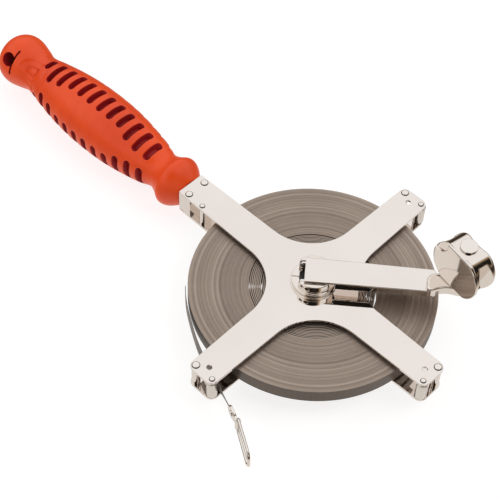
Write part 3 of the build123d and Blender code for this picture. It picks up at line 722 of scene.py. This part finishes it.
def make_inner_turns():
    """Loose strip that spirals from the drum out to the tight turns."""
    rng = random.Random(5)
    turns = 13
    steps = 96
    thick = 0.62
    start = DRUM_RADIUS + 0.35
    finish = COIL_BORE - 0.45
    bm = bmesh.new()
    previous = None
    wobble = [(rng.uniform(0.08, 0.32), rng.uniform(0, 6.28)) for _ in range(turns + 2)]
    for step in range(turns * steps + 1):
        share = step / (turns * steps)
        a = 2 * math.pi * step / steps
        turn = share * turns
        low_turn = int(turn)
        mix = turn - low_turn
        reach = [w[0] * math.cos(a - w[1]) for w in (wobble[low_turn], wobble[low_turn + 1])]
        radius = start + (finish - start) * share ** 0.85
        radius += (reach[0] * (1 - mix) + reach[1] * mix) * math.sin(math.pi * share)
        rise = 0.12 * math.sin(2.3 * turn) * math.sin(math.pi * share)
        ring = []
        for r, z in ((radius - thick / 2, BLADE_LOW), (radius + thick / 2, BLADE_LOW),
                     (radius + thick / 2, BLADE_HIGH), (radius - thick / 2, BLADE_HIGH)):
            ring.append(bm.verts.new((r * math.cos(a) * MM, r * math.sin(a) * MM, (z + rise) * MM)))
        if previous:
            for k in range(4):
                face = bm.faces.new((previous[k], previous[(k + 1) % 4], ring[(k + 1) % 4], ring[k]))
                face.material_index = 1 if k in (1, 3) else 0
        else:
            bm.faces.new(ring)
        previous = ring
    bm.faces.new(previous)
    turns_obj = finish_mesh(bm, "loose_turns", [BLADE, BLADE_FACE], 30.0)
    settle(turns_obj, "spool", "blade_steel", "blade_inner_turns")


make_coil()
make_inner_turns()


# ---------------------------------------------------------------- grip
GRIP_TURN = 50.5             # broad smooth spine, degrees from +Z towards -Y
GRIP_PROFILE = [             # station from the spool axis, radius
    (103.4, 9.0), (104.6, 10.4), (111, 15.4), (116, 16.6), (121, 14.0), (127, 12.2), (136, 14.9),
    (151, 17.8), (166, 19.8), (183, 20.5), (200, 20.0), (216, 18.3), (231, 15.7), (243, 13.5),
    (251, 15.4), (259, 17.2), (265, 16.8), (270, 14.0), (273, 9.8), (274.6, 5.0), (275, 0.0),
]
SLOT_FIRST = 134.6
SLOT_PITCH = 9.0
SLOT_HALF = 2.25
RIM = 0.45                   # rounding of each slot's outer edge
BROAD_HALF = [13.5, 13.5, 20, 31, 31, 31, 31, 31, 31, 21, 14.5, 38]
NARROW_HALF = 14.0           # half angles of the bands between the slot rows, degrees
SKIN = 4.55
AROUND = 30                  # mesh steps of one slot cell, round the grip and along it
ACROSS = 8
HANG_AT = 259.9
HANG_RADIUS = 4.7
SLIT_AT = 256.0
SLIT_WIDTH = 1.3
SLIT_LENGTH = 17.6
SLIT_FLOOR = 8.0
NECK_END = 253.0
DIMPLE = (240.4, -7.0)       # station, and angle from the broad spine
LENS = (239.0, -4.0, 12.2, 41.0)    # station, angle, half length, half angle


def grip_radius(s):
    """Outer radius of the grip at a distance from the spool axis, a smooth curve."""
    points = GRIP_PROFILE
    if s <= points[0][0]:
        return points[0][1]
    if s >= points[-1][0]:
        return 0.0
    index = max(i for i in range(len(points) - 1) if points[i][0] <= s)
    slopes = []
    for i in (index, index + 1):
        before = points[max(i - 1, 0)]
        after = points[min(i + 1, len(points) - 1)]
        slopes.append((after[1] - before[1]) / (after[0] - before[0]))
    (s0, r0), (s1, r1) = points[index], points[index + 1]
    width = s1 - s0
    t = (s - s0) / width
    smooth = (2 * t ** 3 - 3 * t ** 2 + 1) * r0 + (t ** 3 - 2 * t ** 2 + t) * width * slopes[0]
    return smooth + (3 * t ** 2 - 2 * t ** 3) * r1 + (t ** 3 - t ** 2) * width * slopes[1]


def soft_step(x):
    x = max(0.0, min(1.0, x))
    return x * x * (3 - 2 * x)


def grip_sink(s, beta):
    """How far the surface is pressed in by the dimple and the lens-shaped flat round it."""
    station, middle, half_s, half_beta = LENS
    depth = 0.0
    lens = ((s - station) / half_s) ** 2 + ((beta - middle) / half_beta) ** 2
    depth += 0.42 * soft_step((1.0 - lens) / 0.16)
    sideways = math.radians(beta - DIMPLE[1]) * grip_radius(s)
    from_dimple = math.hypot((s - DIMPLE[0]) / 5.2, sideways / 3.9)
    ring = math.exp(-((from_dimple - 0.82) / 0.24) ** 2)
    return depth + 0.95 * ring + 0.3 * soft_step((1.0 - from_dimple) / 0.6)


def grip_point(s, psi, sink=0.0):
    """Vertex place for a station and an angle in degrees from +Z towards -Y."""
    beta = (psi - GRIP_TURN + 180) % 360 - 180
    radius = grip_radius(s) - sink
    if LENS[0] - LENS[2] < s < NECK_END:
        radius -= grip_sink(s, beta)
    a = math.radians(psi)
    return (-s * MM, -radius * math.sin(a) * MM, (MID + radius * math.cos(a)) * MM)


def slot_outline(s_mid, start, finish, grow):
    """Stadium outline matched point by point to rectangle_outline; start and finish in degrees."""
    half = SLOT_HALF + grow
    scale = math.degrees(1 / grip_radius(s_mid))
    first = start + SLOT_HALF * scale
    last = finish - SLOT_HALF * scale
    out = []
    for i in range(ACROSS):
        phi = math.pi * (1 + i / ACROSS)
        out.append((s_mid + half * math.cos(phi), first + half * math.sin(phi) * scale))
    for i in range(AROUND):
        out.append((s_mid + half, first + (last - first) * i / AROUND))
    for i in range(ACROSS):
        phi = math.pi * i / ACROSS
        out.append((s_mid + half * math.cos(phi), last + half * math.sin(phi) * scale))
    for i in range(AROUND):
        out.append((s_mid - half, last + (first - last) * i / AROUND))
    return out


def rectangle_outline(s0, s1, a0, a1, across, around):
    out = [(s0 + (s1 - s0) * i / across, a0) for i in range(across)]
    out += [(s1, a0 + (a1 - a0) * i / around) for i in range(around)]
    out += [(s1 + (s0 - s1) * i / across, a1) for i in range(across)]
    out += [(s0, a1 + (a0 - a1) * i / around) for i in range(around)]
    return out


def mix_loops(first, second, share):
    return [(a[0] + (b[0] - a[0]) * share, a[1] + (b[1] - a[1]) * share) for a, b in zip(first, second)]


def join_rings(bm, rings, material=0):
    """Quads between closed loops of vertices that match one to one."""
    for first, second in zip(rings, rings[1:]):
        count = len(first)
        for i in range(count):
            after = (i + 1) % count
            face = bm.faces.new((first[i], first[after], second[after], second[i]))
            face.material_index = material


def add_slot_cell(bm, s_mid, quarter, start, finish):
    """One slot with its share of the outer skin, rounded rim, wall and inner skin."""
    a0 = GRIP_TURN + 90 * quarter
    near, far = s_mid - SLOT_PITCH / 2, s_mid + SLOT_PITCH / 2
    frame_loop = rectangle_outline(near, far, a0, a0 + 90, ACROSS, AROUND)
    outer = slot_outline(s_mid, start, finish, RIM)
    layers = [(mix_loops(frame_loop, outer, t), 0.0) for t in (0.0, 0.3, 0.6, 0.85, 1.0)]
    for step in (1, 2, 3):
        turn = math.pi / 2 * step / 3
        layers.append((slot_outline(s_mid, start, finish, RIM * (1 - math.sin(turn))),
                       RIM * (1 - math.cos(turn))))
    inner = slot_outline(s_mid, start, finish, -0.12)
    layers.append((inner, SKIN))
    layers.append((mix_loops(frame_loop, inner, 0.5), SKIN))
    layers.append((frame_loop, SKIN))
    rings = [[bm.verts.new(grip_point(s, psi, sink)) for s, psi in loop] for loop, sink in layers]
    join_rings(bm, rings[:7])
    join_rings(bm, rings[6:], material=1)


def add_stations(bm, stations, sink=0.0, material=0):
    """Plain rings of skin round the grip."""
    count = 4 * AROUND
    angles = [GRIP_TURN + 360.0 * i / count for i in range(count)]
    rings = [[bm.verts.new(grip_point(s, psi, sink)) for psi in angles] for s in stations]
    join_rings(bm, rings, material)
    return rings


def end_cutters():
    """Closed bars that cut the round cross hole and the slit out of the grip's end."""
    a = math.radians(GRIP_TURN)
    out = Vector((0, -math.sin(a), math.cos(a)))
    side = Vector((0, -math.cos(a), -math.sin(a)))
    along = Vector((-1, 0, 0))
    circle = arc((0, 0), HANG_RADIUS, 0, 360, 48)[:-1]
    half_wide = SLIT_WIDTH / 2
    half_long = SLIT_LENGTH / 2 - half_wide
    slit = arc((0, half_long), half_wide, 0, 180, 8) + arc((0, -half_long), half_wide, 180, 360, 8)
    cutters = []
    for outline, station, low in ((circle, HANG_AT, -24.0), (slit, SLIT_AT, SLIT_FLOOR)):
        bm = bmesh.new()
        rings = []
        for reach in (low, 24.0):
            middle = Vector((-station, 0, MID)) + out * reach
            rings.append([bm.verts.new((middle + along * x + side * y) * MM) for x, y in outline])
        join_rings(bm, rings)
        for ring in rings:
            bm.faces.new(ring)
        cutters.append(finish_mesh(bm, "end_cutter", RED))
    return cutters


def cap(bm, ring, s):
    """Close a ring of vertices onto the grip's axis."""
    middle = bm.verts.new((-s * MM, 0, MID * MM))
    count = len(ring)
    for i in range(count):
        bm.faces.new((ring[i], ring[(i + 1) % count], middle))


def make_grip():
    first_cell = SLOT_FIRST - SLOT_PITCH / 2
    last_cell = SLOT_FIRST + SLOT_PITCH * (len(BROAD_HALF) - 0.5)
    bm = bmesh.new()
    for index, broad in enumerate(BROAD_HALF):
        s_mid = SLOT_FIRST + index * SLOT_PITCH
        for quarter in range(4):
            a0 = GRIP_TURN + 90 * quarter
            start, finish = broad, 90 - NARROW_HALF
            if quarter % 2:
                start, finish = NARROW_HALF, 90 - broad
            add_slot_cell(bm, s_mid, quarter, a0 + start, a0 + finish)
    collar = [GRIP_START, GRIP_START + 0.5]
    steps = 26
    collar += [GRIP_START + 0.5 + (first_cell - GRIP_START - 0.5) * i / steps for i in range(1, steps + 1)]
    rings = add_stations(bm, collar)
    cap(bm, rings[0], GRIP_START)
    neck_steps = 30
    neck = [last_cell + (NECK_END - last_cell) * i / neck_steps for i in range(neck_steps + 1)]
    bulge = [NECK_END + i for i in range(1, 15)]
    nose_from = bulge[-1]
    nose = [nose_from + (GRIP_END - nose_from) * math.sin(math.pi / 2 * i / 12) for i in range(1, 12)]
    rings = add_stations(bm, neck + bulge + nose)
    cap(bm, rings[-1], GRIP_END)
    for s in (first_cell, last_cell):
        rings = add_stations(bm, [s], sink=SKIN)
        cap(bm, rings[0], s)
    bmesh.ops.remove_doubles(bm, verts=bm.verts, dist=1e-6)
    solid = finish_mesh(bm, "moulded_grip_solid", [ORANGE, RED], 45.0)
    cutters = end_cutters()
    for cutter in cutters:
        cut = solid.modifiers.new("hollow", "BOOLEAN")
        cut.operation = "DIFFERENCE"
        cut.solver = "EXACT"
        cut.material_mode = "TRANSFER"
        cut.object = cutter
    bpy.context.view_layer.update()
    mesh = bpy.data.meshes.new_from_object(solid.evaluated_get(bpy.context.evaluated_depsgraph_get()))
    for spare in (solid, *cutters):
        bpy.data.objects.remove(spare)
    mesh.name = "moulded_grip"
    settle(shown("moulded_grip", mesh, 38.0), "frame", "grip_plastic", "grip_shell")


make_grip()


# ---------------------------------------------------------------- hub and crank
CRANK_ALONG = (math.cos(CRANK_ANGLE), math.sin(CRANK_ANGLE), 0.0)
CRANK_ACROSS = (-math.sin(CRANK_ANGLE), math.cos(CRANK_ANGLE), 0.0)
UPRIGHT = (0.0, 0.0, 1.0)
crank_place = placed((0, 0, 0), CRANK_ALONG, CRANK_ACROSS, UPRIGHT)
HUB_LOW, HUB_TOP = span("crank_hub", 2)
FLANGE_RADIUS = 13.0
FLANGE_TOP = FRONT + 3.0
RECESS_FLOOR = FRONT + 1.8
CHEEK_RADIUS = 11.7
CHEEK_INNER = 7.4
PIVOT_AT = (-6.6, FRONT + 6.6)
SCREW_AT = (-3.4, FRONT + 6.4)
CRANK_TOP = span("crank_arm", 2)[1]
CRANK_REAR = -5.5
CRANK_END = 69.0
CRANK_BOW = 1.8
CRANK_HALF = (8.65, 7.9)
CRANK_SHEET = 1.5
SKIRT_DEPTH = 5.5
SKIRT_FROM = 12.3
LUG = (5.6, 7.1)             # inner and outer face of each pivot lug
EAR_RADIUS = 2.4
RECESS_RADIUS = 8.5


def hub_field(u, v, z):
    """Round flange with a slit, two cheeks for the crank pivot and a round recess."""
    reach = np.hypot(u, v)
    flange = soft_max(reach - FLANGE_RADIUS, slab(z, HUB_LOW, FLANGE_TOP), 0.35)
    cheek = soft_max(reach - CHEEK_RADIUS, CHEEK_INNER - np.abs(v), 0.3)
    cheek = soft_max(cheek, slab(z, FLANGE_TOP - 0.6, HUB_TOP), 0.45)
    nose = np.hypot(u - PIVOT_AT[0], z - PIVOT_AT[1]) - EAR_RADIUS
    rear = (z > PIVOT_AT[1]) & (u < PIVOT_AT[0])
    beyond = np.where(rear, nose, PIVOT_AT[0] - EAR_RADIUS - u)
    cheek = np.maximum(cheek, beyond)
    solid = soft_min(flange, cheek, 0.35)
    recess = np.maximum(reach - RECESS_RADIUS, RECESS_FLOOR - z)
    slit = np.maximum(np.maximum(np.abs(v) - 0.32, u + 7.5), RECESS_FLOOR - z)
    screw = np.maximum(np.hypot(u - SCREW_AT[0], z - SCREW_AT[1]) - 1.3, v + 8.6)
    pivot = np.hypot(u - PIVOT_AT[0], z - PIVOT_AT[1]) - 1.15
    for hollow in (recess, slit, screw, pivot):
        solid = soft_max(solid, -hollow, 0.18)
    return solid


def crank_outline(u, v):
    """Crank seen from above: slightly tapered sides and a bowed far end."""
    share = (u - CRANK_REAR) / (CRANK_END - CRANK_REAR)
    half = CRANK_HALF[0] + (CRANK_HALF[1] - CRANK_HALF[0]) * share
    bowed = u - CRANK_END - CRANK_BOW * (1 - (v / CRANK_HALF[1]) ** 2)
    side = soft_max(np.abs(v) - half, bowed, 1.2)
    return np.maximum(side, CRANK_REAR - u)


def crank_field(u, v, z):
    """Flat web with turned-down sides and two lugs on the pivot."""
    outline = crank_outline(u, v)
    web = soft_max(outline, slab(z, CRANK_TOP - CRANK_SHEET, CRANK_TOP), 0.5)
    skirt = np.maximum(outline, CRANK_HALF[1] - CRANK_SHEET - np.abs(v))
    skirt = np.maximum(skirt, SKIRT_FROM - u)
    skirt = soft_max(skirt, slab(z, CRANK_TOP - SKIRT_DEPTH, CRANK_TOP - 0.5), 0.4)
    ear = np.maximum(-(u - PIVOT_AT[0]), 0.85 * (u - 4.0) - 0.55 * (z - PIVOT_AT[1] + 2.0))
    ear = np.maximum(ear, slab(z, PIVOT_AT[1] - 2.0, CRANK_TOP - 0.7))
    ear = np.maximum(ear, np.where(u < CRANK_REAR, z - PIVOT_AT[1] - 2.0, -1.0))
    ear = np.minimum(ear, np.hypot(u - PIVOT_AT[0], z - PIVOT_AT[1]) - 2.0)
    ear = soft_max(ear, slab(np.abs(v), *LUG), 0.3)
    return soft_min(soft_min(web, skirt, 0.4), ear, 0.3)


def make_pivot_stubs():
    """One short pin through each cheek into the crank's lug."""
    bm = bmesh.new()
    radius_full = span("crank_pin", 2)[1] - PIVOT_AT[1]
    reach = math.sqrt(CHEEK_RADIUS ** 2 - PIVOT_AT[0] ** 2) - 0.4
    profile = ((5.5, 0.85), (5.75, radius_full), (reach - 0.25, radius_full), (reach, 0.85))
    for side in (-1, 1):
        rings = []
        for across, radius in profile:
            ring = []
            for step in range(32):
                turn = side * 2 * math.pi * step / 32
                local = (PIVOT_AT[0] + radius * math.cos(turn), side * across,
                         PIVOT_AT[1] + radius * math.sin(turn))
                ring.append(bm.verts.new(Vector(crank_place(np.array([local]))[0]) * MM))
            rings.append(ring)
        join_rings(bm, rings)
        bm.faces.new(rings[0])
        bm.faces.new(rings[-1])
    stubs = finish_mesh(bm, "turned_crank_pin", RIVET, 35.0)
    settle(stubs, "spool", "rivet_steel", "crank_pin")


def make_hub_and_crank():
    hub = sculpt("turned_hub", hub_field, (-13.6, -13.6, HUB_LOW - 0.6), (13.6, 13.6, HUB_TOP + 0.6),
                 0.22, crank_place, CAST, 35.0)
    settle(hub, "spool", "cast_chrome", "crank_hub")
    crank = sculpt("pressed_crank", crank_field, (-9.2, -9.3, CRANK_TOP - 6.6),
                   (72.3, 9.3, CRANK_TOP + 0.6), 0.3, crank_place, NICKEL, 35.0)
    settle(crank, "crank", "plated_steel", "crank_arm")
    make_pivot_stubs()
    outer = FLANGE_RADIUS + 0.7
    bush = rounded([(4.05, FRONT - PLATE), (6.0, FRONT - PLATE), (6.0, FRONT), (outer, FRONT),
                    (outer, FRONT + 0.8), (4.05, FRONT + 0.8), (4.05, FRONT - PLATE)], 0.2, 3)
    bm = bmesh.new()
    lathe(bm, bush, (0, 0), 96)
    bmesh.ops.remove_doubles(bm, verts=bm.verts, dist=1e-7)
    settle(finish_mesh(bm, "turned_front_bush", CAST, 25.0), "frame", "cast_chrome", "front_bush")


make_hub_and_crank()


# ---------------------------------------------------------------- knob
KNOB_AT = 83.2
KNOB_TURN = math.radians(130.1)
KNOB_LOW, KNOB_HIGH = span("knob_body", 2)
FOOT_LOW, FOOT_TOP = span("knob_foot", 2)
FOOT_HEEL = ((66.8, -6.2), 3.0)    # circles that the foot's outline wraps: centre, radius
FOOT_CROWN = ((69.8, -2.6), 5.9)
FOOT_TOE = ((KNOB_AT, 0.0), 7.2)
FOOT_WAIST = ((76.3, -20.2), 14.0)
OVAL = (18.0, 17.4)          # half sizes of the knob's face
BODY_STEP = 0.9              # the body behind the face is this much smaller
OVAL_SHIFT = 0.6
FACE_OUT = 8.4
BACK_OUT = 7.8
POCKET_TIP = 7.5
knob_heading = CRANK_ANGLE + KNOB_TURN + math.pi
KNOB_LONG = (math.cos(knob_heading), math.sin(knob_heading), 0.0)
KNOB_FACE = (math.sin(knob_heading), -math.cos(knob_heading), 0.0)
knob_middle = (CRANK_ALONG[0] * KNOB_AT, CRANK_ALONG[1] * KNOB_AT, (KNOB_LOW + KNOB_HIGH) / 2)
knob_place = placed(knob_middle, KNOB_LONG, KNOB_FACE, UPRIGHT)


def knob_field(p, q, w):
    """Oval block with a flat raised face, a wedge pocket in each end and a thumb step."""
    half = (KNOB_HIGH - KNOB_LOW) / 2
    shifted = p - OVAL_SHIFT
    face = soft_max(oval(shifted, w, *OVAL), slab(q, FACE_OUT - 1.9, FACE_OUT), 0.5)
    inner_oval = oval(shifted, w, OVAL[0] - BODY_STEP, OVAL[1] - BODY_STEP)
    body = soft_max(inner_oval, slab(q, -BACK_OUT, FACE_OUT - 1.0), 2.2)
    solid = soft_min(face, body, 0.4)
    solid = soft_max(solid, np.abs(w) - half, 1.2)
    waist = 22.0 - np.hypot(shifted, q + BACK_OUT + 20.2)
    solid = soft_max(solid, waist, 2.0)
    for heading in (-1, 1):
        outward = heading * p - POCKET_TIP
        pocket = np.maximum(np.abs(w) / 2.0, np.abs(q) / 0.5) - outward
        solid = soft_max(solid, -0.43 * pocket, 0.6)
    step = np.maximum(np.hypot(p + 16.5, w - 12.5) - 8.9, FACE_OUT - 1.0 - q)
    solid = soft_max(solid, -step, 0.35)
    bore = np.hypot(p, q) - 2.55
    return np.maximum(solid, -bore)


def tapered(u, v, first, second):
    """Round-ended bar between two circles, each given as its centre and radius."""
    (u0, v0), radius0 = first
    (u1, v1), radius1 = second
    share = ((u - u0) * (u1 - u0) + (v - v0) * (v1 - v0)) / ((u1 - u0) ** 2 + (v1 - v0) ** 2)
    share = np.clip(share, 0.0, 1.0)
    reach = np.hypot(u - u0 - (u1 - u0) * share, v - v0 - (v1 - v0) * share)
    return reach - radius0 - (radius1 - radius0) * share


def foot_field(u, v, z):
    """Lump that sits on the crank's end and carries the knob pin."""
    outline = np.minimum(tapered(u, v, FOOT_CROWN, FOOT_TOE), tapered(u, v, FOOT_HEEL, FOOT_TOE))
    outline = np.minimum(outline, tapered(u, v, FOOT_HEEL, FOOT_CROWN))
    (waist_u, waist_v), waist_radius = FOOT_WAIST
    outline = soft_max(outline, waist_radius - np.hypot(u - waist_u, v - waist_v), 1.5)
    solid = soft_max(outline, slab(z, FOOT_LOW, FOOT_TOP), 1.3)
    seat = np.maximum(np.abs(v) - CRANK_HALF[1] - 0.3, u - CRANK_END - CRANK_BOW - 0.3)
    seat = np.maximum(seat, z - CRANK_TOP)
    return soft_max(solid, -seat, 0.2)


def make_knob():
    knob = sculpt("cast_knob", knob_field, (-18.1, -8.6, -15.6), (19.4, 9.2, 15.6), 0.33,
                  knob_place, CAST, 30.0)
    settle(knob, "knob", "cast_chrome", "knob_body")
    foot = sculpt("cast_foot", foot_field, (63.0, -10.0, FOOT_LOW - 0.7), (91.2, 8.2, FOOT_TOP + 0.7),
                  0.3, crank_place, CAST, 30.0)
    settle(foot, "crank", "cast_chrome", "knob_foot")
    low, high = span("knob_pin", 2)
    head = high - 1.1
    profile = [(0, low), (2.5, low), (2.5, head), (5.1, head)]
    profile += rounded([(5.1, head), (5.1, high), (0, high)], 0.35, 4)[1:]
    bm = bmesh.new()
    lathe(bm, profile, knob_middle[:2], 64)
    settle(finish_mesh(bm, "turned_knob_pin", RIVET, 35.0), "crank", "rivet_steel", "knob_pin")


make_knob()


# ---------------------------------------------------------------- clip and ring
CLIP_CENTRE = Vector((26.0, -92.3, MID))
BARREL_CENTRE = Vector((32.9, -95.0, MID))
CLIP_ALONG = (BARREL_CENTRE - CLIP_CENTRE).normalized()
CLIP_SIDE = CLIP_ALONG.cross(Vector(UPRIGHT))
BARREL_REACH = (BARREL_CENTRE - CLIP_CENTRE).length
WIRE_RADIUS = 0.85
RING_TURN = math.radians(-31.5)
RING_CORNERS = [(0, 0.3), (0, 5.7), (24.2, 8.2), (25.0, -5.8), (0, -5.7), (0, -0.3)]
RING_RADII = [1.5, 4.5, 4.5, 1.5]


def clip_field(a, c, b):
    """Riveted oval plate with a rolled barrel for the ring."""
    plate = soft_max(oval(a, b, 4.8, 4.2), np.abs(c) - 0.8, 0.3)
    bridge = np.maximum(slab(a, 2.0, BARREL_REACH), np.abs(b) - 2.5)
    bridge = soft_max(bridge, np.abs(c) - 0.8, 0.3)
    barrel = soft_max(np.hypot(a - BARREL_REACH, c) - 1.7, np.abs(b) - 4.0, 0.3)
    solid = soft_min(soft_min(plate, bridge, 0.4), barrel, 0.5)
    bore = np.hypot(a - BARREL_REACH, c) - 0.95
    return soft_max(solid, -bore, 0.15)


def filleted(corners, radii, steps=14):
    """Polyline with a true arc in each inner corner."""
    out = [Vector(corners[0])]
    for before, corner, after, radius in zip(corners, corners[1:], corners[2:], radii):
        corner = Vector(corner)
        first = (Vector(before) - corner).normalized()
        second = (Vector(after) - corner).normalized()
        half_angle = first.angle(second) / 2
        centre = corner + (first + second).normalized() * radius / math.sin(half_angle)
        start = corner + first * radius / math.tan(half_angle) - centre
        end = corner + second * radius / math.tan(half_angle) - centre
        sweep = start.angle_signed(end)
        for i in range(steps + 1):
            turn = -sweep * i / steps
            out.append(centre + Vector((start.x * math.cos(turn) - start.y * math.sin(turn),
                                        start.x * math.sin(turn) + start.y * math.cos(turn))))
    out.append(Vector(corners[-1]))
    return out


def make_clip_and_ring():
    place = placed(CLIP_CENTRE, CLIP_ALONG, CLIP_SIDE, UPRIGHT)
    clip = sculpt("rolled_clip", clip_field, (-5.4, -2.3, -4.7), (9.7, 2.3, 4.7), 0.16, place, RIVET, 35.0)
    settle(clip, "frame", "rivet_steel", "end_clip")
    path = filleted(RING_CORNERS, RING_RADII)
    along = Vector((math.cos(RING_TURN), math.sin(RING_TURN), 0))
    side = along.cross(Vector(UPRIGHT))
    bm = bmesh.new()
    steps = 20
    rings = []
    for i, point in enumerate(path):
        heading = (path[min(i + 1, len(path) - 1)] - path[max(i - 1, 0)]).normalized()
        across = along * -heading.y + Vector(UPRIGHT) * heading.x
        middle = BARREL_CENTRE + along * point.x + Vector(UPRIGHT) * point.y
        ring = []
        for k in range(steps):
            phi = 2 * math.pi * k / steps
            spot = middle + (across * math.cos(phi) + side * math.sin(phi)) * WIRE_RADIUS
            ring.append(bm.verts.new(spot * MM))
        rings.append(ring)
    join_rings(bm, rings)
    bm.faces.new(rings[0])
    bm.faces.new(rings[-1])
    settle(finish_mesh(bm, "bent_ring", CAST, 50.0), "ring", "cast_chrome", "end_ring")


make_clip_and_ring()


# ---------------------------------------------------------------- CAD nodes kept as they are
KEPT = {
    "grip_block": NICKEL, "grip_rod": ZINC, "grip_core": RED, "grip_nut": BLACK,
    "rear_bush": BRONZE, "spool_axle": ZINC, "spool_drum": ZINC, "blade_anchor": ZINC,
    "axle_screw": BLACK, "set_screw": BLACK, "foot_rivet": RIVET,
    "blade_lead": BLADE_FACE, "clip_rivet": RIVET,
}
for kept_node, kept_material in KEPT.items():
    kept_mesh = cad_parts[kept_node].data
    kept_mesh.materials.clear()
    kept_mesh.materials.append(kept_material)
